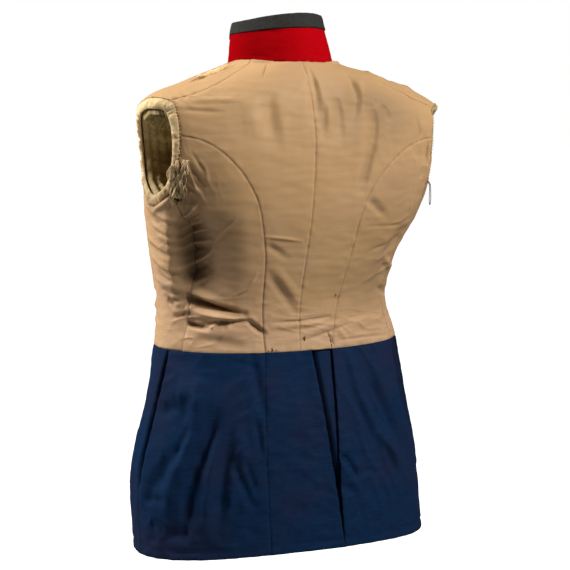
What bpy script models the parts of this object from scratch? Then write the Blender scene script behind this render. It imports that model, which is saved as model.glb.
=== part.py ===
"""Uniform coat, worn form, sleeveless as shown: waisted body, joined skirt, tall standing collar.

Every cloth piece is a thin wall laid on one worn form. The form is a stack of ovals from the hem to the
neck; a place on it is an angle round the wearer (0 at the centre of the back, positive to the wearer's
left, 180 at the centre of the front) and a level (the number of the oval, counted up from the hem).
Metres, +Z up, the wearer faces -Y. The origin is the middle of the neck seam.
"""
import math

import bmesh
import bpy
from mathutils import Vector

for old in list(bpy.data.objects):
    bpy.data.objects.remove(old, do_unlink=True)

# Cloth walls and the gap left at each seam.
BODY_WALL = 0.0016
SKIRT_WALL = 0.0020
COLLAR_WALL = 0.0024
BAND_WALL = 0.0014
RIM_WALL = 0.0012
LINING_WALL = 0.0010
SEAM_GAP = 0.0003
# Front lap: the left front lies over the right one.
LAP_PAST_CENTRE = 7.0
LAP_START = 156.0
LAP_FULL = 170.0
LAP_LIFT = 0.0026
SKIRT_LAP_LIFT = 0.0031
# The strip that shows in the back vent lies under its neighbours.
STRIP_SINK = SKIRT_WALL + 0.0008
# Collar band, buttons and thread loop.
BAND_HEIGHT = 0.0185
BAND_ABOVE_EDGE = 0.0008
BUTTON_COUNT = 7
BUTTON_RADIUS = 0.0085
BUTTON_HEIGHT = 0.0042
BUTTON_TOP_LEVEL = 9.55
BUTTON_LOW_LEVEL = 3.25
LOOP_THICKNESS = 0.0012
LOOP_FROM_RIM = 2.2
LOOP_BELOW_RIM = 0.10

# Ovals of the worn form.
# Columns: back height, side height, front height, width to the left, width to the right, back reach,
# front reach, side reach, fullness of the corners, lean to the wearer's left, rise of the left side.
RINGS = {
    "hem": (-0.655, -0.666, -0.670, 0.213, 0.214, 0.122, -0.165, 0.000, 0.04, 0.000, 0.000),
    "thigh": (-0.554, -0.560, -0.562, 0.2145, 0.206, 0.113, -0.152, -0.004, 0.05, 0.000, 0.000),
    "hip": (-0.464, -0.466, -0.466, 0.194, 0.190, 0.097, -0.138, -0.008, 0.06, 0.000, 0.000),
    "waist": (-0.390, -0.385, -0.392, 0.1785, 0.1785, 0.070, -0.125, -0.012, 0.08, 0.000, 0.000),
    "hollow": (-0.330, -0.326, -0.332, 0.1725, 0.1645, 0.068, -0.124, -0.022, 0.08, 0.000, 0.000),
    "ribs": (-0.265, -0.262, -0.265, 0.181, 0.177, 0.089, -0.134, -0.018, 0.10, 0.000, 0.000),
    "armpit": (-0.200, -0.200, -0.205, 0.191, 0.203, 0.109, -0.140, 0.000, 0.12, -0.001, 0.000),
    "blade": (-0.130, -0.130, -0.150, 0.200, 0.220, 0.115, -0.134, 0.018, 0.10, -0.003, 0.000),
    "tip": (-0.072, -0.060, -0.100, 0.208, 0.228, 0.110, -0.112, 0.022, 0.00, -0.004, 0.005),
    "mid": (-0.030, -0.024, -0.065, 0.148, 0.152, 0.098, -0.090, 0.014, 0.00, -0.002, -0.002),
    "neck": (0.000, 0.000, -0.045, 0.074, 0.074, 0.078, -0.072, 0.000, 0.00, 0.002, 0.000),
}
LEVEL = {name: number for number, name in enumerate(RINGS)}
# Ovals of the standing collar, same columns.
COLLAR_RINGS = {
    "seam": (0.0007, 0.0007, -0.0422, 0.074, 0.074, 0.078, -0.072, 0.000, 0.00, 0.002, 0.000),
    "middle": (0.0335, 0.0310, -0.006, 0.0665, 0.0665, 0.070, -0.065, 0.000, 0.00, 0.005, -0.002),
    "top": (0.0635, 0.0580, 0.032, 0.0605, 0.0605, 0.061, -0.059, -0.001, 0.00, 0.007, -0.0045),
}
COLLAR_END = 177.0

# Curved seams of the back. Columns: angle on the left, angle on the right, level.
CURVED_SEAM = {
    "waist": (15.0, 14.5, 3.0),
    "hollow": (16.5, 19.0, 4.0),
    "ribs": (16.5, 20.5, 5.0),
    "low_back": (18.5, 19.5, 5.75),
    "armpit": (20.5, 20.5, 6.2),
    "mid_back": (24.0, 23.5, 6.55),
    "bend": (29.0, 28.5, 6.88),
    "upper": (36.5, 36.0, 7.2),
    "high": (45.0, 45.0, 7.38),
    "armhole": (56.0, 56.0, 7.44),
}
# Other seam lines on the form. Columns: angle, level.
SIDE_SEAM = {
    "waist": (59.0, 3.0),
    "hollow": (57.0, 4.1),
    "ribs": (56.5, 5.0),
    "under": (59.5, 5.8),
    "armhole": (66.0, 6.42),
}
SHOULDER_SEAM = {
    "armhole": (63.5, 8.12),
    "outer": (53.5, 8.5),
    "inner": (50.0, 9.2),
    "neck": (52.0, 10.0),
}
ARMHOLE = {
    "shoulder_seam": (63.5, 8.12),
    "back_high": (57.0, 7.82),
    "curved_seam": (56.0, 7.44),
    "back_low": (60.0, 6.90),
    "side_seam": (66.0, 6.42),
    "foot": (84.0, 6.15),
    "front_low": (98.0, 6.44),
    "front": (109.0, 7.05),
    "front_high": (106.0, 7.70),
    "ridge": (84.0, 8.12),
}
VENT_EDGE = {"waist": (-5.0, 3.0), "hip": (-6.3, 2.0), "thigh": (-8.6, 1.0), "hem": (-12.0, 0.0)}
PLEAT_EDGE = {"waist": (-14.5, 3.0), "hip": (-12.6, 2.0), "thigh": (-11.2, 1.0), "hem": (-12.0, 0.0)}
SKIRT_SEAM = {"waist": (15.0, 3.0), "hip": (16.8, 2.0), "thigh": (16.2, 1.0), "hem": (16.0, 0.0)}
POCKET_LINE = {"waist": (72.0, 3.0), "hip": (79.0, 2.0), "thigh": (83.0, 1.0), "hem": (84.0, 0.0)}
STRIP_LEFT = {"waist": (2.0, 3.0), "hem": (-2.0, 0.0)}
STRIP_RIGHT = {"waist": (-18.5, 3.0), "hem": (-17.5, 0.0)}
# Largest folds of the worn cloth, each along a straight line on the form.
# Columns: start angle, start level, end angle, end level, half width, height (hollows are negative).
FOLDS = {
    "flank_hollow_left": (53.0, 4.7, 54.0, 5.80, 0.066, -0.024),
    "waist_trough_left": (60.0, 4.28, 28.0, 4.00, 0.019, -0.006),
    "waist_ridge_left": (58.0, 3.95, 20.0, 3.70, 0.020, 0.006),
    "waist_ridge_right": (-22.0, 3.45, -50.0, 3.70, 0.020, 0.004),
    "flank_hollow_right": (-46.0, 4.4, -52.0, 5.8, 0.030, -0.004),
    "blade_crease_right": (-26.0, 7.30, -22.0, 6.50, 0.020, -0.003),
    "chest_pull_left": (118.0, 5.3, 148.0, 4.2, 0.026, -0.004),
    "chest_pull_right": (-116.0, 5.0, -147.0, 4.4, 0.026, -0.004),
    "drape_right": (-27.0, 2.6, -44.0, 0.95, 0.025, 0.005),
    "drape_hollow_right": (-34.0, 2.5, -58.0, 0.50, 0.028, -0.005),
    "skirt_hollow_left": (31.0, 2.2, 33.0, 0.00, 0.028, -0.005),
    "skirt_ridge_left": (48.0, 2.4, 51.0, 0.00, 0.028, 0.005),
    "skirt_hollow_front_left": (108.0, 2.3, 112.0, 0.00, 0.032, -0.006),
    "skirt_ridge_front_left": (130.0, 2.3, 134.0, 0.00, 0.032, 0.005),
    "skirt_hollow_front_right": (-104.0, 2.2, -110.0, 0.00, 0.032, -0.005),
    "skirt_ridge_front_right": (-127.0, 2.4, -132.0, 0.00, 0.032, 0.006),
}
DEGREE_RUN = 0.0030
LEVEL_RUN = 0.066
# Section of the armhole's rim and of the lining turned in behind it.
# Columns: into the hole, out of the cloth, inward along the wearer's side.
RIM_SECTION = {"edge": (0.0, 0.0, 0.0), "swell": (0.005, 0.0018, 0.0), "turn": (0.011, 0.0004, 0.001)}
LINING_SECTION = {
    "turn": (0.0116, -0.0016, 0.0),
    "near": (0.0150, -0.0050, 0.009),
    "deep": (0.0160, -0.0050, 0.025),
    "end": (0.0120, -0.0050, 0.041),
}
RIM_NARROW_AT_FOOT = 0.55
# Thread loop at the right armhole. Columns: along the rim, out from it, down from it.
LOOP_ROUTE = {
    "start": (-0.0020, 0.0005, 0.000),
    "leave": (-0.0022, 0.0032, 0.001),
    "fall": (-0.0026, 0.0048, 0.004),
    "left_high": (-0.0031, 0.0052, 0.010),
    "left_low": (-0.0036, 0.0052, 0.017),
    "left_wide": (-0.0040, 0.0052, 0.024),
    "bottom_left": (-0.0030, 0.0051, 0.0295),
    "bottom": (0.0000, 0.0050, 0.0320),
    "bottom_right": (0.0030, 0.0051, 0.0295),
    "right_wide": (0.0040, 0.0052, 0.024),
    "right_low": (0.0036, 0.0052, 0.017),
    "right_high": (0.0031, 0.0052, 0.010),
    "rise": (0.0026, 0.0048, 0.004),
    "return": (0.0022, 0.0032, 0.001),
    "end": (0.0020, 0.0005, 0.000),
}


def blend(rows, place):
    """Smooth row of numbers at a place between the rows of a table."""
    first = max(0, min(int(math.floor(place)), len(rows) - 2))
    part = place - first
    before, start, end, after = (rows[max(0, min(first + step, len(rows) - 1))] for step in (-1, 0, 1, 2))
    result = []
    for number in range(len(start)):
        slope_start = (end[number] - before[number]) / (2 if first > 0 else 1)
        slope_end = (after[number] - start[number]) / (2 if first < len(rows) - 2 else 1)
        rise = end[number] - start[number]
        curve = slope_start + slope_end - 2 * rise
        bend = 3 * rise - 2 * slope_start - slope_end
        result.append(start[number] + part * (slope_start + part * (bend + part * curve)))
    return result


def oval_point(row, angle):
    """Point of one oval at an angle in degrees."""
    back_z, side_z, front_z, left_x, right_x, back_y, front_y, side_y, fullness, lean, rise = row
    sine, cosine = math.sin(math.radians(angle)), math.cos(math.radians(angle))
    reach = back_y - side_y if cosine > 0 else side_y - front_y
    end_z = back_z if cosine > 0 else front_z
    return Vector((
        (left_x if sine > 0 else right_x) * sine * (1 + fullness * cosine * cosine) + lean,
        side_y + reach * cosine * (1 + fullness * sine * sine),
        side_z + (end_z - side_z) * cosine * cosine + rise * sine,
    ))


def fold_height(angle, level):
    """How far the largest folds move the cloth out at a place."""
    total = 0.0
    for start_angle, start_level, end_angle, end_level, half_width, height in FOLDS.values():
        run = Vector(((end_angle - start_angle) * DEGREE_RUN, (end_level - start_level) * LEVEL_RUN))
        spot = Vector(((angle - start_angle) * DEGREE_RUN, (level - start_level) * LEVEL_RUN))
        part = max(0.0, min(1.0, spot.dot(run) / run.length_squared))
        near = (spot - run * part).length / half_width
        if near < 1.0:
            total += height * (1 - near * near) ** 2
    return total


def form_point(angle, level):
    return oval_point(blend(list(RINGS.values()), level), angle)


def body_point(angle, level):
    """Point of the worn body or skirt, folds included."""
    height = fold_height(angle, level)
    base = form_point(angle, level)
    return base + outward(form_point, angle, level, LEVEL["neck"]) * height if height else base


def collar_point(angle, level):
    return oval_point(blend(list(COLLAR_RINGS.values()), level), angle)


def outward(surface, angle, level, top):
    """Outward direction of a surface."""
    step = 0.02
    round_way = surface(angle + 0.5, level) - surface(angle - 0.5, level)
    up_way = surface(angle, min(level + step, top)) - surface(angle, max(level - step, 0.0))
    return up_way.cross(round_way).normalized()


def along(table, steps, side=1, first=None, last=None):
    """Points at equal steps along a seam line, on the wearer's left (1) or right (-1)."""
    names = list(table)
    rows = list(table.values())
    start = names.index(first) if first else 0
    end = names.index(last) if last else len(rows) - 1
    places = [start + (end - start) * step / steps for step in range(steps + 1)]
    return [(side * point[0], point[1]) for point in (blend(rows, place) for place in places)]


def armhole_part(first, last, side, per_span=2):
    """Points of the closed armhole line from one named row round to another."""
    names = list(ARMHOLE)
    rows = list(ARMHOLE.values())
    start = names.index(first)
    end = names.index(last)
    if end <= start:
        end += len(rows)
    closed = rows[-2:] + rows + rows + rows[:2]
    points = []
    for step in range((end - start) * per_span + 1):
        angle, level = blend(closed, 2 + start + step / per_span)
        points.append((side * angle, level))
    return points


def straight(start, end, steps):
    return [tuple(a + (b - a) * step / steps for a, b in zip(start, end)) for step in range(steps + 1)]


def patch(bottom, top, left, right):
    """Grid of places between four seam lines that meet at their ends."""
    across, up = len(bottom) - 1, len(left) - 1
    grid = []
    for row in range(up + 1):
        v = row / up
        line = []
        for column in range(across + 1):
            u = column / across
            place = []
            for axis in (0, 1):
                sides = (1 - u) * left[row][axis] + u * right[row][axis]
                ends = (1 - v) * bottom[column][axis] + v * top[column][axis]
                low = (1 - u) * bottom[0][axis] + u * bottom[-1][axis]
                high = (1 - u) * top[0][axis] + u * top[-1][axis]
                place.append(sides + ends - (1 - v) * low - v * high)
            line.append(tuple(place))
        grid.append(line)
    return grid


def make_material(name, colour, roughness, metallic=0.0):
    material = bpy.data.materials.new(name)
    material.use_nodes = True
    shader = material.node_tree.nodes["Principled BSDF"]
    shader.inputs["Base Color"].default_value = (*colour, 1.0)
    shader.inputs["Roughness"].default_value = roughness
    shader.inputs["Metallic"].default_value = metallic
    return material


def add_mesh(name, points, faces, material):
    work = bmesh.new()
    corners = [work.verts.new(point) for point in points]
    for face in faces:
        work.faces.new([corners[number] for number in face])
    mesh = bpy.data.meshes.new(name)
    work.to_mesh(mesh)
    work.free()
    mesh.materials.append(material)
    piece = bpy.data.objects.new(name, mesh)
    bpy.context.scene.collection.objects.link(piece)
    return piece


def make_wall(name, points, normals, faces, wall, material, trim=SEAM_GAP / 2):
    """Closed thin solid: outer faces as given, inner faces a wall behind, edges trimmed for the seam."""
    outer = []
    for face in faces:
        a, b, c = (points[number] for number in face[:3])
        facing = (b - a).cross(c - a).dot(sum((normals[number] for number in face), Vector()))
        outer.append(tuple(face) if facing > 0 else tuple(reversed(face)))
    used = {}
    for face in outer:
        for start, end in zip(face, face[1:] + face[:1]):
            used[(start, end)] = face
    edges = [pair for pair in used if (pair[1], pair[0]) not in used]
    inward = {}
    for start, end in edges:
        way = (points[end] - points[start]).normalized()
        for number in (start, end):
            inward.setdefault(number, []).append(normals[number].cross(way).normalized())
    trimmed = list(points)
    for number, ways in inward.items():
        total = sum(ways, Vector())
        trimmed[number] = points[number] + total * (trim / max(0.3, total.dot(ways[0])))
    count = len(points)
    solid = list(outer) + [tuple(number + count for number in reversed(face)) for face in outer]
    solid += [(end, start, start + count, end + count) for start, end in edges]
    inner = [point - normal * wall for point, normal in zip(trimmed, normals)]
    return add_mesh(name, trimmed + inner, solid, material)


def make_panel(name, grids, wall, material, surface=body_point, top=LEVEL["neck"], lift=None):
    """Cloth panel from grids of places, joined where they share places."""
    numbers, points, normals, faces = {}, [], [], []

    def number_of(place):
        key = (round(place[0], 5), round(place[1], 5))
        if key not in numbers:
            numbers[key] = len(points)
            normal = outward(surface, *place, top)
            points.append(surface(*place) + normal * (lift(*place) if lift else 0.0))
            normals.append(normal)
        return numbers[key]

    for grid in grids:
        for low, high in zip(grid, grid[1:]):
            for column in range(len(low) - 1):
                corners = (low[column], low[column + 1], high[column + 1], high[column])
                faces.append(tuple(number_of(place) for place in corners))
    return make_wall(name, points, normals, faces, wall, material)


def left_lap(angle, level):
    """The left front rises over the right one towards its edge."""
    part = max(0.0, min(1.0, (angle - LAP_START) / (LAP_FULL - LAP_START)))
    return (SKIRT_LAP_LIFT if level < WAIST else LAP_LIFT) * part * part * (3 - 2 * part)


twill = make_material("body_twill", (0.47, 0.30, 0.155), 0.55)
navy = make_material("skirt_wool", (0.006, 0.014, 0.045), 0.85)
red = make_material("collar_wool", (0.50, 0.002, 0.004), 0.85)
black = make_material("band_wool", (0.022, 0.022, 0.020), 0.9)
cream = make_material("rim_cotton", (0.60, 0.45, 0.22), 0.7)
brass = make_material("button_brass", (0.72, 0.52, 0.22), 0.35, 1.0)
thread = make_material("loop_thread", (0.20, 0.14, 0.08), 0.8)

SEAM_STEPS = 14
FOOT_STEPS = 4
FRONT_COLUMNS = 8
FRONT_EDGE = 180.0 + LAP_PAST_CENTRE
SKIRT_STEPS = 8
NECK = float(LEVEL["neck"])
WAIST = float(LEVEL["waist"])

for side, word in ((1, "left"), (-1, "right")):
    curved_rows = {name: (row[0] if side > 0 else row[1], row[2]) for name, row in CURVED_SEAM.items()}
    curved = along(curved_rows, SEAM_STEPS, side)
    side_line = along(SIDE_SEAM, SEAM_STEPS, side)
    shoulder = along(SHOULDER_SEAM, 4, side)
    hole_back = armhole_part("shoulder_seam", "curved_seam", side)[::-1]
    hole_side = armhole_part("curved_seam", "side_seam", side)
    hole_foot = armhole_part("side_seam", "front_low", side)
    hole_front = armhole_part("front_low", "shoulder_seam", side)

    # Back panel: centre seam, curved seam, armhole, shoulder seam, neck.
    outer_edge = curved + hole_back[1:] + shoulder[1:]
    centre = straight((0.0, WAIST), (0.0, 7.7), SEAM_STEPS)
    centre += straight((0.0, 7.7), (0.0, NECK), len(outer_edge) - len(centre))[1:]
    back_waist = straight((0.0, WAIST), curved[0], 5)
    back_neck = straight((0.0, NECK), shoulder[-1], 5)
    make_panel("back_" + word, [patch(back_waist, back_neck, centre, outer_edge)], BODY_WALL, twill)

    # Side back panel: curved seam, side seam, lower back of the armhole.
    side_waist = straight(curved[0], side_line[0], FOOT_STEPS)
    make_panel("side_back_" + word, [patch(side_waist, hole_side, curved, side_line)], BODY_WALL, twill)

    # Front panel: side seam, round the armhole's front, shoulder seam, neck, front edge.
    chest = straight(hole_foot[-1], (side * FRONT_EDGE, 6.4), FRONT_COLUMNS)
    low_top = hole_foot + chest[1:]
    front_waist = straight(side_line[0], (side * FRONT_EDGE, WAIST), len(low_top) - 1)
    low_edge = straight((side * FRONT_EDGE, WAIST), (side * FRONT_EDGE, 6.4), SEAM_STEPS)
    low_front = patch(front_waist, low_top, side_line, low_edge)
    high_inner = hole_front + shoulder[1:]
    high_edge = straight(chest[-1], (side * FRONT_EDGE, NECK), len(high_inner) - 1)
    front_neck = straight(shoulder[-1], (side * FRONT_EDGE, NECK), FRONT_COLUMNS)
    high_front = patch(chest, front_neck, high_inner, high_edge)
    lap = left_lap if side > 0 else None
    make_panel("front_" + word, [low_front, high_front], BODY_WALL, twill, lift=lap)

    # Armhole rim and the lining turned in behind it.
    ring = armhole_part("shoulder_seam", "shoulder_seam", side)[:-1]
    for name, section, wall, material in (
        ("armhole_rim_", RIM_SECTION, RIM_WALL, cream),
        ("armhole_lining_", LINING_SECTION, LINING_WALL, cream),
    ):
        edge = [body_point(*place) for place in ring]
        out = [outward(body_point, *place, NECK) for place in ring]
        low_end = min(point.z for point in edge)
        high_end = max(point.z for point in edge)
        rows = []
        for into, proud, deep in section.values():
            row = []
            for number, point in enumerate(edge):
                way = (edge[(number + 1) % len(edge)] - edge[number - 1]).normalized()
                hole_way = way.cross(out[number]) * side
                height = (point.z - low_end) / (high_end - low_end)
                width = RIM_NARROW_AT_FOOT + (1 - RIM_NARROW_AT_FOOT) * height
                inward_way = Vector((-side, 0.0, -0.15))
                row.append(point + hole_way * into * width + out[number] * proud + inward_way * deep)
            rows.append(row)
        points = [point for row in rows for point in row]
        count = len(edge)
        faces = []
        for line in range(len(rows) - 1):
            for number in range(count):
                after = (number + 1) % count
                low, high = line * count, (line + 1) * count
                faces.append((low + number, low + after, high + after, high + number))
        normals = []
        for line, row in enumerate(rows):
            for number in range(count):
                way = row[(number + 1) % count] - row[number - 1]
                into_way = rows[min(line + 1, len(rows) - 1)][number] - rows[max(line - 1, 0)][number]
                normals.append(into_way.cross(way).normalized() * side)
        make_wall(name + word, points, normals, faces, wall, material)

    # Skirt: side and front panels.
    seam = along(SKIRT_SEAM, SKIRT_STEPS, side) if side > 0 else along(PLEAT_EDGE, SKIRT_STEPS)
    pocket = along(POCKET_LINE, SKIRT_STEPS, side)
    front_edge = straight((side * FRONT_EDGE, WAIST), (side * FRONT_EDGE, 0.0), SKIRT_STEPS)
    grid = patch(straight(seam[0], pocket[0], 9), straight(seam[-1], pocket[-1], 9), seam, pocket)
    make_panel("skirt_side_" + word, [grid], SKIRT_WALL, navy)
    ends = []
    for start, end in ((pocket[0], front_edge[0]), (pocket[-1], front_edge[-1])):
        lap_line = (side * LAP_START, start[1])
        ends.append(straight(start, lap_line, 6) + straight(lap_line, end, 4)[1:])
    grid = patch(*ends, pocket, front_edge)
    make_panel("skirt_front_" + word, [grid], SKIRT_WALL, navy, lift=lap)

# Skirt back: the left panel runs past the centre to the vent edge; a strip lies under the vent.
vent = along(VENT_EDGE, SKIRT_STEPS)
seam = along(SKIRT_SEAM, SKIRT_STEPS)
grid = patch(straight(vent[0], seam[0], 6), straight(vent[-1], seam[-1], 6), vent, seam)
make_panel("skirt_back_left", [grid], SKIRT_WALL, navy)
strip_left = along(STRIP_LEFT, SKIRT_STEPS)
strip_right = along(STRIP_RIGHT, SKIRT_STEPS)
grid = patch(straight(strip_right[0], strip_left[0], 6), straight(strip_right[-1], strip_left[-1], 6),
             strip_right, strip_left)
make_panel("skirt_back_right", [grid], SKIRT_WALL, navy, lift=lambda angle, level: -STRIP_SINK)

# Standing collar, open at the front, and the band round its top edge.
COLLAR_COLUMNS = 32
collar_top = float(len(COLLAR_RINGS) - 1)
rows = [straight((-COLLAR_END, level), (COLLAR_END, level), COLLAR_COLUMNS) for level in (0.0, 0.5, 1.0, 1.5, 2.0)]
make_panel("collar_stand", [rows], COLLAR_WALL, red, collar_point, collar_top)

points, normals, faces = [], [], []
for number in range(COLLAR_COLUMNS + 1):
    angle = -COLLAR_END + 2 * COLLAR_END * number / COLLAR_COLUMNS
    top = collar_point(angle, collar_top)
    down = (collar_point(angle, collar_top - 0.25) - top).normalized()
    normal = outward(collar_point, angle, collar_top, collar_top)
    for distance in (-BAND_ABOVE_EDGE, BAND_HEIGHT * 0.5, BAND_HEIGHT):
        level = collar_top - max(0.0, distance) / (top - collar_point(angle, collar_top - 1)).length
        base = collar_point(angle, level) if distance > 0 else top + down * distance
        points.append(base + normal * (SEAM_GAP + BAND_WALL))
        normals.append(normal)
for number in range(COLLAR_COLUMNS):
    for step in (0, 1):
        low = number * 3 + step
        faces.append((low, low + 1, low + 4, low + 3))
make_wall("collar_edge_band", points, normals, faces, BAND_WALL, black, trim=0.0)

# Plain domed buttons down the front lap, evenly spaced along it.
steps = 200
fall = (BUTTON_LOW_LEVEL - BUTTON_TOP_LEVEL) / steps
travel = [0.0]
for step in range(steps):
    here, after = (body_point(180.0, BUTTON_TOP_LEVEL + fall * (step + part)) for part in (0, 1))
    travel.append(travel[-1] + (after - here).length)
for number in range(BUTTON_COUNT):
    wanted = travel[-1] * number / (BUTTON_COUNT - 1)
    nearest = min(range(steps + 1), key=lambda step: abs(travel[step] - wanted))
    level = BUTTON_TOP_LEVEL + fall * nearest
    normal = outward(body_point, 180.0, level, NECK)
    seat = body_point(180.0, level) + normal * (LAP_LIFT + SEAM_GAP)
    turn = normal.to_track_quat("Z", "Y")
    profile = ((1.0, 0.0), (1.0, 0.25), (0.82, 0.68), (0.45, 0.94))
    sides = 14
    points = []
    for reach, height in profile:
        for step in range(sides):
            angle = 2 * math.pi * step / sides
            spot = Vector((reach * BUTTON_RADIUS * math.cos(angle), reach * BUTTON_RADIUS * math.sin(angle),
                           height * BUTTON_HEIGHT))
            points.append(seat + turn @ spot)
    points.append(seat + turn @ Vector((0.0, 0.0, BUTTON_HEIGHT)))
    faces = [tuple(reversed(range(sides)))]
    for line in range(len(profile) - 1):
        for step in range(sides):
            after = (step + 1) % sides
            low, high = line * sides, (line + 1) * sides
            faces.append((low + step, low + after, high + after, high + step))
    last = (len(profile) - 1) * sides
    faces += [(last + step, last + (step + 1) % sides, len(points) - 1) for step in range(sides)]
    add_mesh("button_%d" % (number + 1), points, faces, brass)

# Thread loop hanging from the rim of the right armhole.
rim_angle, rim_level = armhole_part("back_low", "side_seam", -1)[1]
place = (rim_angle + LOOP_FROM_RIM, rim_level - LOOP_BELOW_RIM)
anchor = body_point(*place)
out_way = outward(body_point, *place, NECK)
rim_way = Vector((0.0, 0.0, 1.0)).cross(out_way).normalized()
curve = bpy.data.curves.new("armhole_loop", "CURVE")
curve.dimensions = "3D"
curve.bevel_depth = LOOP_THICKNESS / 2
curve.bevel_resolution = 2
curve.use_fill_caps = True
line = curve.splines.new("POLY")
line.points.add(len(LOOP_ROUTE) - 1)
for spot, (aside, out, down) in zip(line.points, LOOP_ROUTE.values()):
    spot.co = (*(anchor + rim_way * aside + out_way * out + Vector((0.0, 0.0, -down))), 1.0)
curve.materials.append(thread)
loop = bpy.data.objects.new("armhole_loop", curve)
bpy.context.scene.collection.objects.link(loop)
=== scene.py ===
"""Looks of the uniform coat: worn panels, armhole rims and linings, collar, skirt, buttons, thread work."""
import math

import bmesh
import bpy
import numpy as np
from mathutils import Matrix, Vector, kdtree, noise


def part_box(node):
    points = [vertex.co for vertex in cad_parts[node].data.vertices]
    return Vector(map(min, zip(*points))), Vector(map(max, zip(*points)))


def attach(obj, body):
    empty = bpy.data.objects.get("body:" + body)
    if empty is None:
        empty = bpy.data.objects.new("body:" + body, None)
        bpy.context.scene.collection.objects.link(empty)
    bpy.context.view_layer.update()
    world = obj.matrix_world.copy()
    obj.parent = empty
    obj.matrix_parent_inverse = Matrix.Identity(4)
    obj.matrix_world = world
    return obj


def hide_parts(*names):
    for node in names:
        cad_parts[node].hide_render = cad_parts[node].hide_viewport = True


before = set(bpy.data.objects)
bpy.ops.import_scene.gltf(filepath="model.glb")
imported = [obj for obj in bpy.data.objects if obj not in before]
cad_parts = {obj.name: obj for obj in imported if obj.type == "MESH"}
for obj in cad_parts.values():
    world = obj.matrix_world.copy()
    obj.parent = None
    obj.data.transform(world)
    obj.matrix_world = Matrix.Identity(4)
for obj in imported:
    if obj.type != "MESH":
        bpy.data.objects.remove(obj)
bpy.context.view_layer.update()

# Studio: a plain pale floor well below the hem, a large soft light on the right of the camera, one far round
# on the left, a weak one from above, and the camera behind the wearer, a little to the wearer's left.
CAMERA_AZIMUTH = math.radians(22.0)
CAMERA_HEIGHT = math.radians(6.7)
CAMERA_DISTANCE = 2.0
CAMERA_TARGET = Vector((-0.005, 0.002, -0.307))
CAMERA_LENS = 90.2
FLOOR_LEVEL = -0.90
FLOOR_SIZE = 60.0
FLOOR_GLOW = 1.1
AMBIENT = 0.035

scene = bpy.context.scene
scene.view_settings.view_transform = "Standard"


def direction(azimuth, height):
    """Direction from the coat, by its angle from straight behind the wearer and its angle above level."""
    level_part = math.cos(height)
    return Vector((math.sin(azimuth) * level_part, math.cos(azimuth) * level_part, math.sin(height)))


backward = direction(CAMERA_AZIMUTH, CAMERA_HEIGHT)
camera_data = bpy.data.cameras.new("camera")
camera_data.lens = CAMERA_LENS
camera_data.sensor_width = 36.0
camera = bpy.data.objects.new("camera", camera_data)
camera.location = CAMERA_TARGET + backward * CAMERA_DISTANCE
camera.rotation_euler = backward.to_track_quat("Z", "Y").to_euler()
scene.collection.objects.link(camera)
scene.camera = camera


def add_light(name, round_angle, height_angle, distance, size, power, colour):
    """Square soft light aimed at the coat; its angle is counted from the camera, positive to the right."""
    way = direction(CAMERA_AZIMUTH - math.radians(round_angle), math.radians(height_angle))
    data = bpy.data.lights.new(name, "AREA")
    data.size = size
    data.energy = power
    data.color = colour
    light = bpy.data.objects.new(name, data)
    light.location = CAMERA_TARGET + way * distance
    light.rotation_euler = way.to_track_quat("Z", "Y").to_euler()
    scene.collection.objects.link(light)


add_light("key_light", 54.0, 40.0, 2.4, 0.6, 64.0, (1.0, 0.98, 0.95))
add_light("side_light", -91.0, 32.0, 2.0, 0.6, 58.0, (1.0, 0.98, 0.96))
add_light("top_light", -60.0, 70.0, 2.4, 0.8, 6.0, (1.0, 0.98, 0.95))

world = bpy.data.worlds.new("studio")
world.use_nodes = True
scene.world = world
world_nodes = world.node_tree.nodes
world_links = world.node_tree.links
ambient = world_nodes["Background"]
ambient.inputs["Color"].default_value = (1.0, 1.0, 1.0, 1.0)
ambient.inputs["Strength"].default_value = AMBIENT
white_wall = world_nodes.new("ShaderNodeBackground")
white_wall.inputs["Color"].default_value = (1.0, 1.0, 1.0, 1.0)
path_kind = world_nodes.new("ShaderNodeLightPath")
wall_mix = world_nodes.new("ShaderNodeMixShader")
world_links.new(path_kind.outputs["Is Camera Ray"], wall_mix.inputs[0])
world_links.new(ambient.outputs[0], wall_mix.inputs[1])
world_links.new(white_wall.outputs[0], wall_mix.inputs[2])
world_links.new(wall_mix.outputs[0], world_nodes["World Output"].inputs["Surface"])

floor_work = bmesh.new()
bmesh.ops.create_grid(floor_work, x_segments=4, y_segments=4, size=FLOOR_SIZE / 2)
bmesh.ops.translate(floor_work, verts=floor_work.verts, vec=(0.0, 0.0, FLOOR_LEVEL))
floor_mesh = bpy.data.meshes.new("floor")
floor_work.to_mesh(floor_mesh)
floor_work.free()
floor_paint = bpy.data.materials.new("pale_floor")
floor_paint.use_nodes = True
floor_shader = floor_paint.node_tree.nodes["Principled BSDF"]
floor_shader.inputs["Base Color"].default_value = (0.35, 0.35, 0.35, 1.0)
floor_shader.inputs["Roughness"].default_value = 0.9
floor_nodes, floor_links = floor_paint.node_tree.nodes, floor_paint.node_tree.links
floor_glow = floor_nodes.new("ShaderNodeEmission")
floor_glow.inputs["Strength"].default_value = FLOOR_GLOW
floor_seen = floor_nodes.new("ShaderNodeLightPath")
floor_add = floor_nodes.new("ShaderNodeAddShader")
floor_mix = floor_nodes.new("ShaderNodeMixShader")
floor_links.new(floor_shader.outputs[0], floor_add.inputs[0])
floor_links.new(floor_glow.outputs[0], floor_add.inputs[1])
floor_links.new(floor_seen.outputs["Is Camera Ray"], floor_mix.inputs[0])
floor_links.new(floor_shader.outputs[0], floor_mix.inputs[1])
floor_links.new(floor_add.outputs[0], floor_mix.inputs[2])
floor_links.new(floor_mix.outputs[0], floor_nodes["Material Output"].inputs["Surface"])
floor_mesh.materials.append(floor_paint)
floor = bpy.data.objects.new("floor", floor_mesh)
scene.collection.objects.link(floor)

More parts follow.
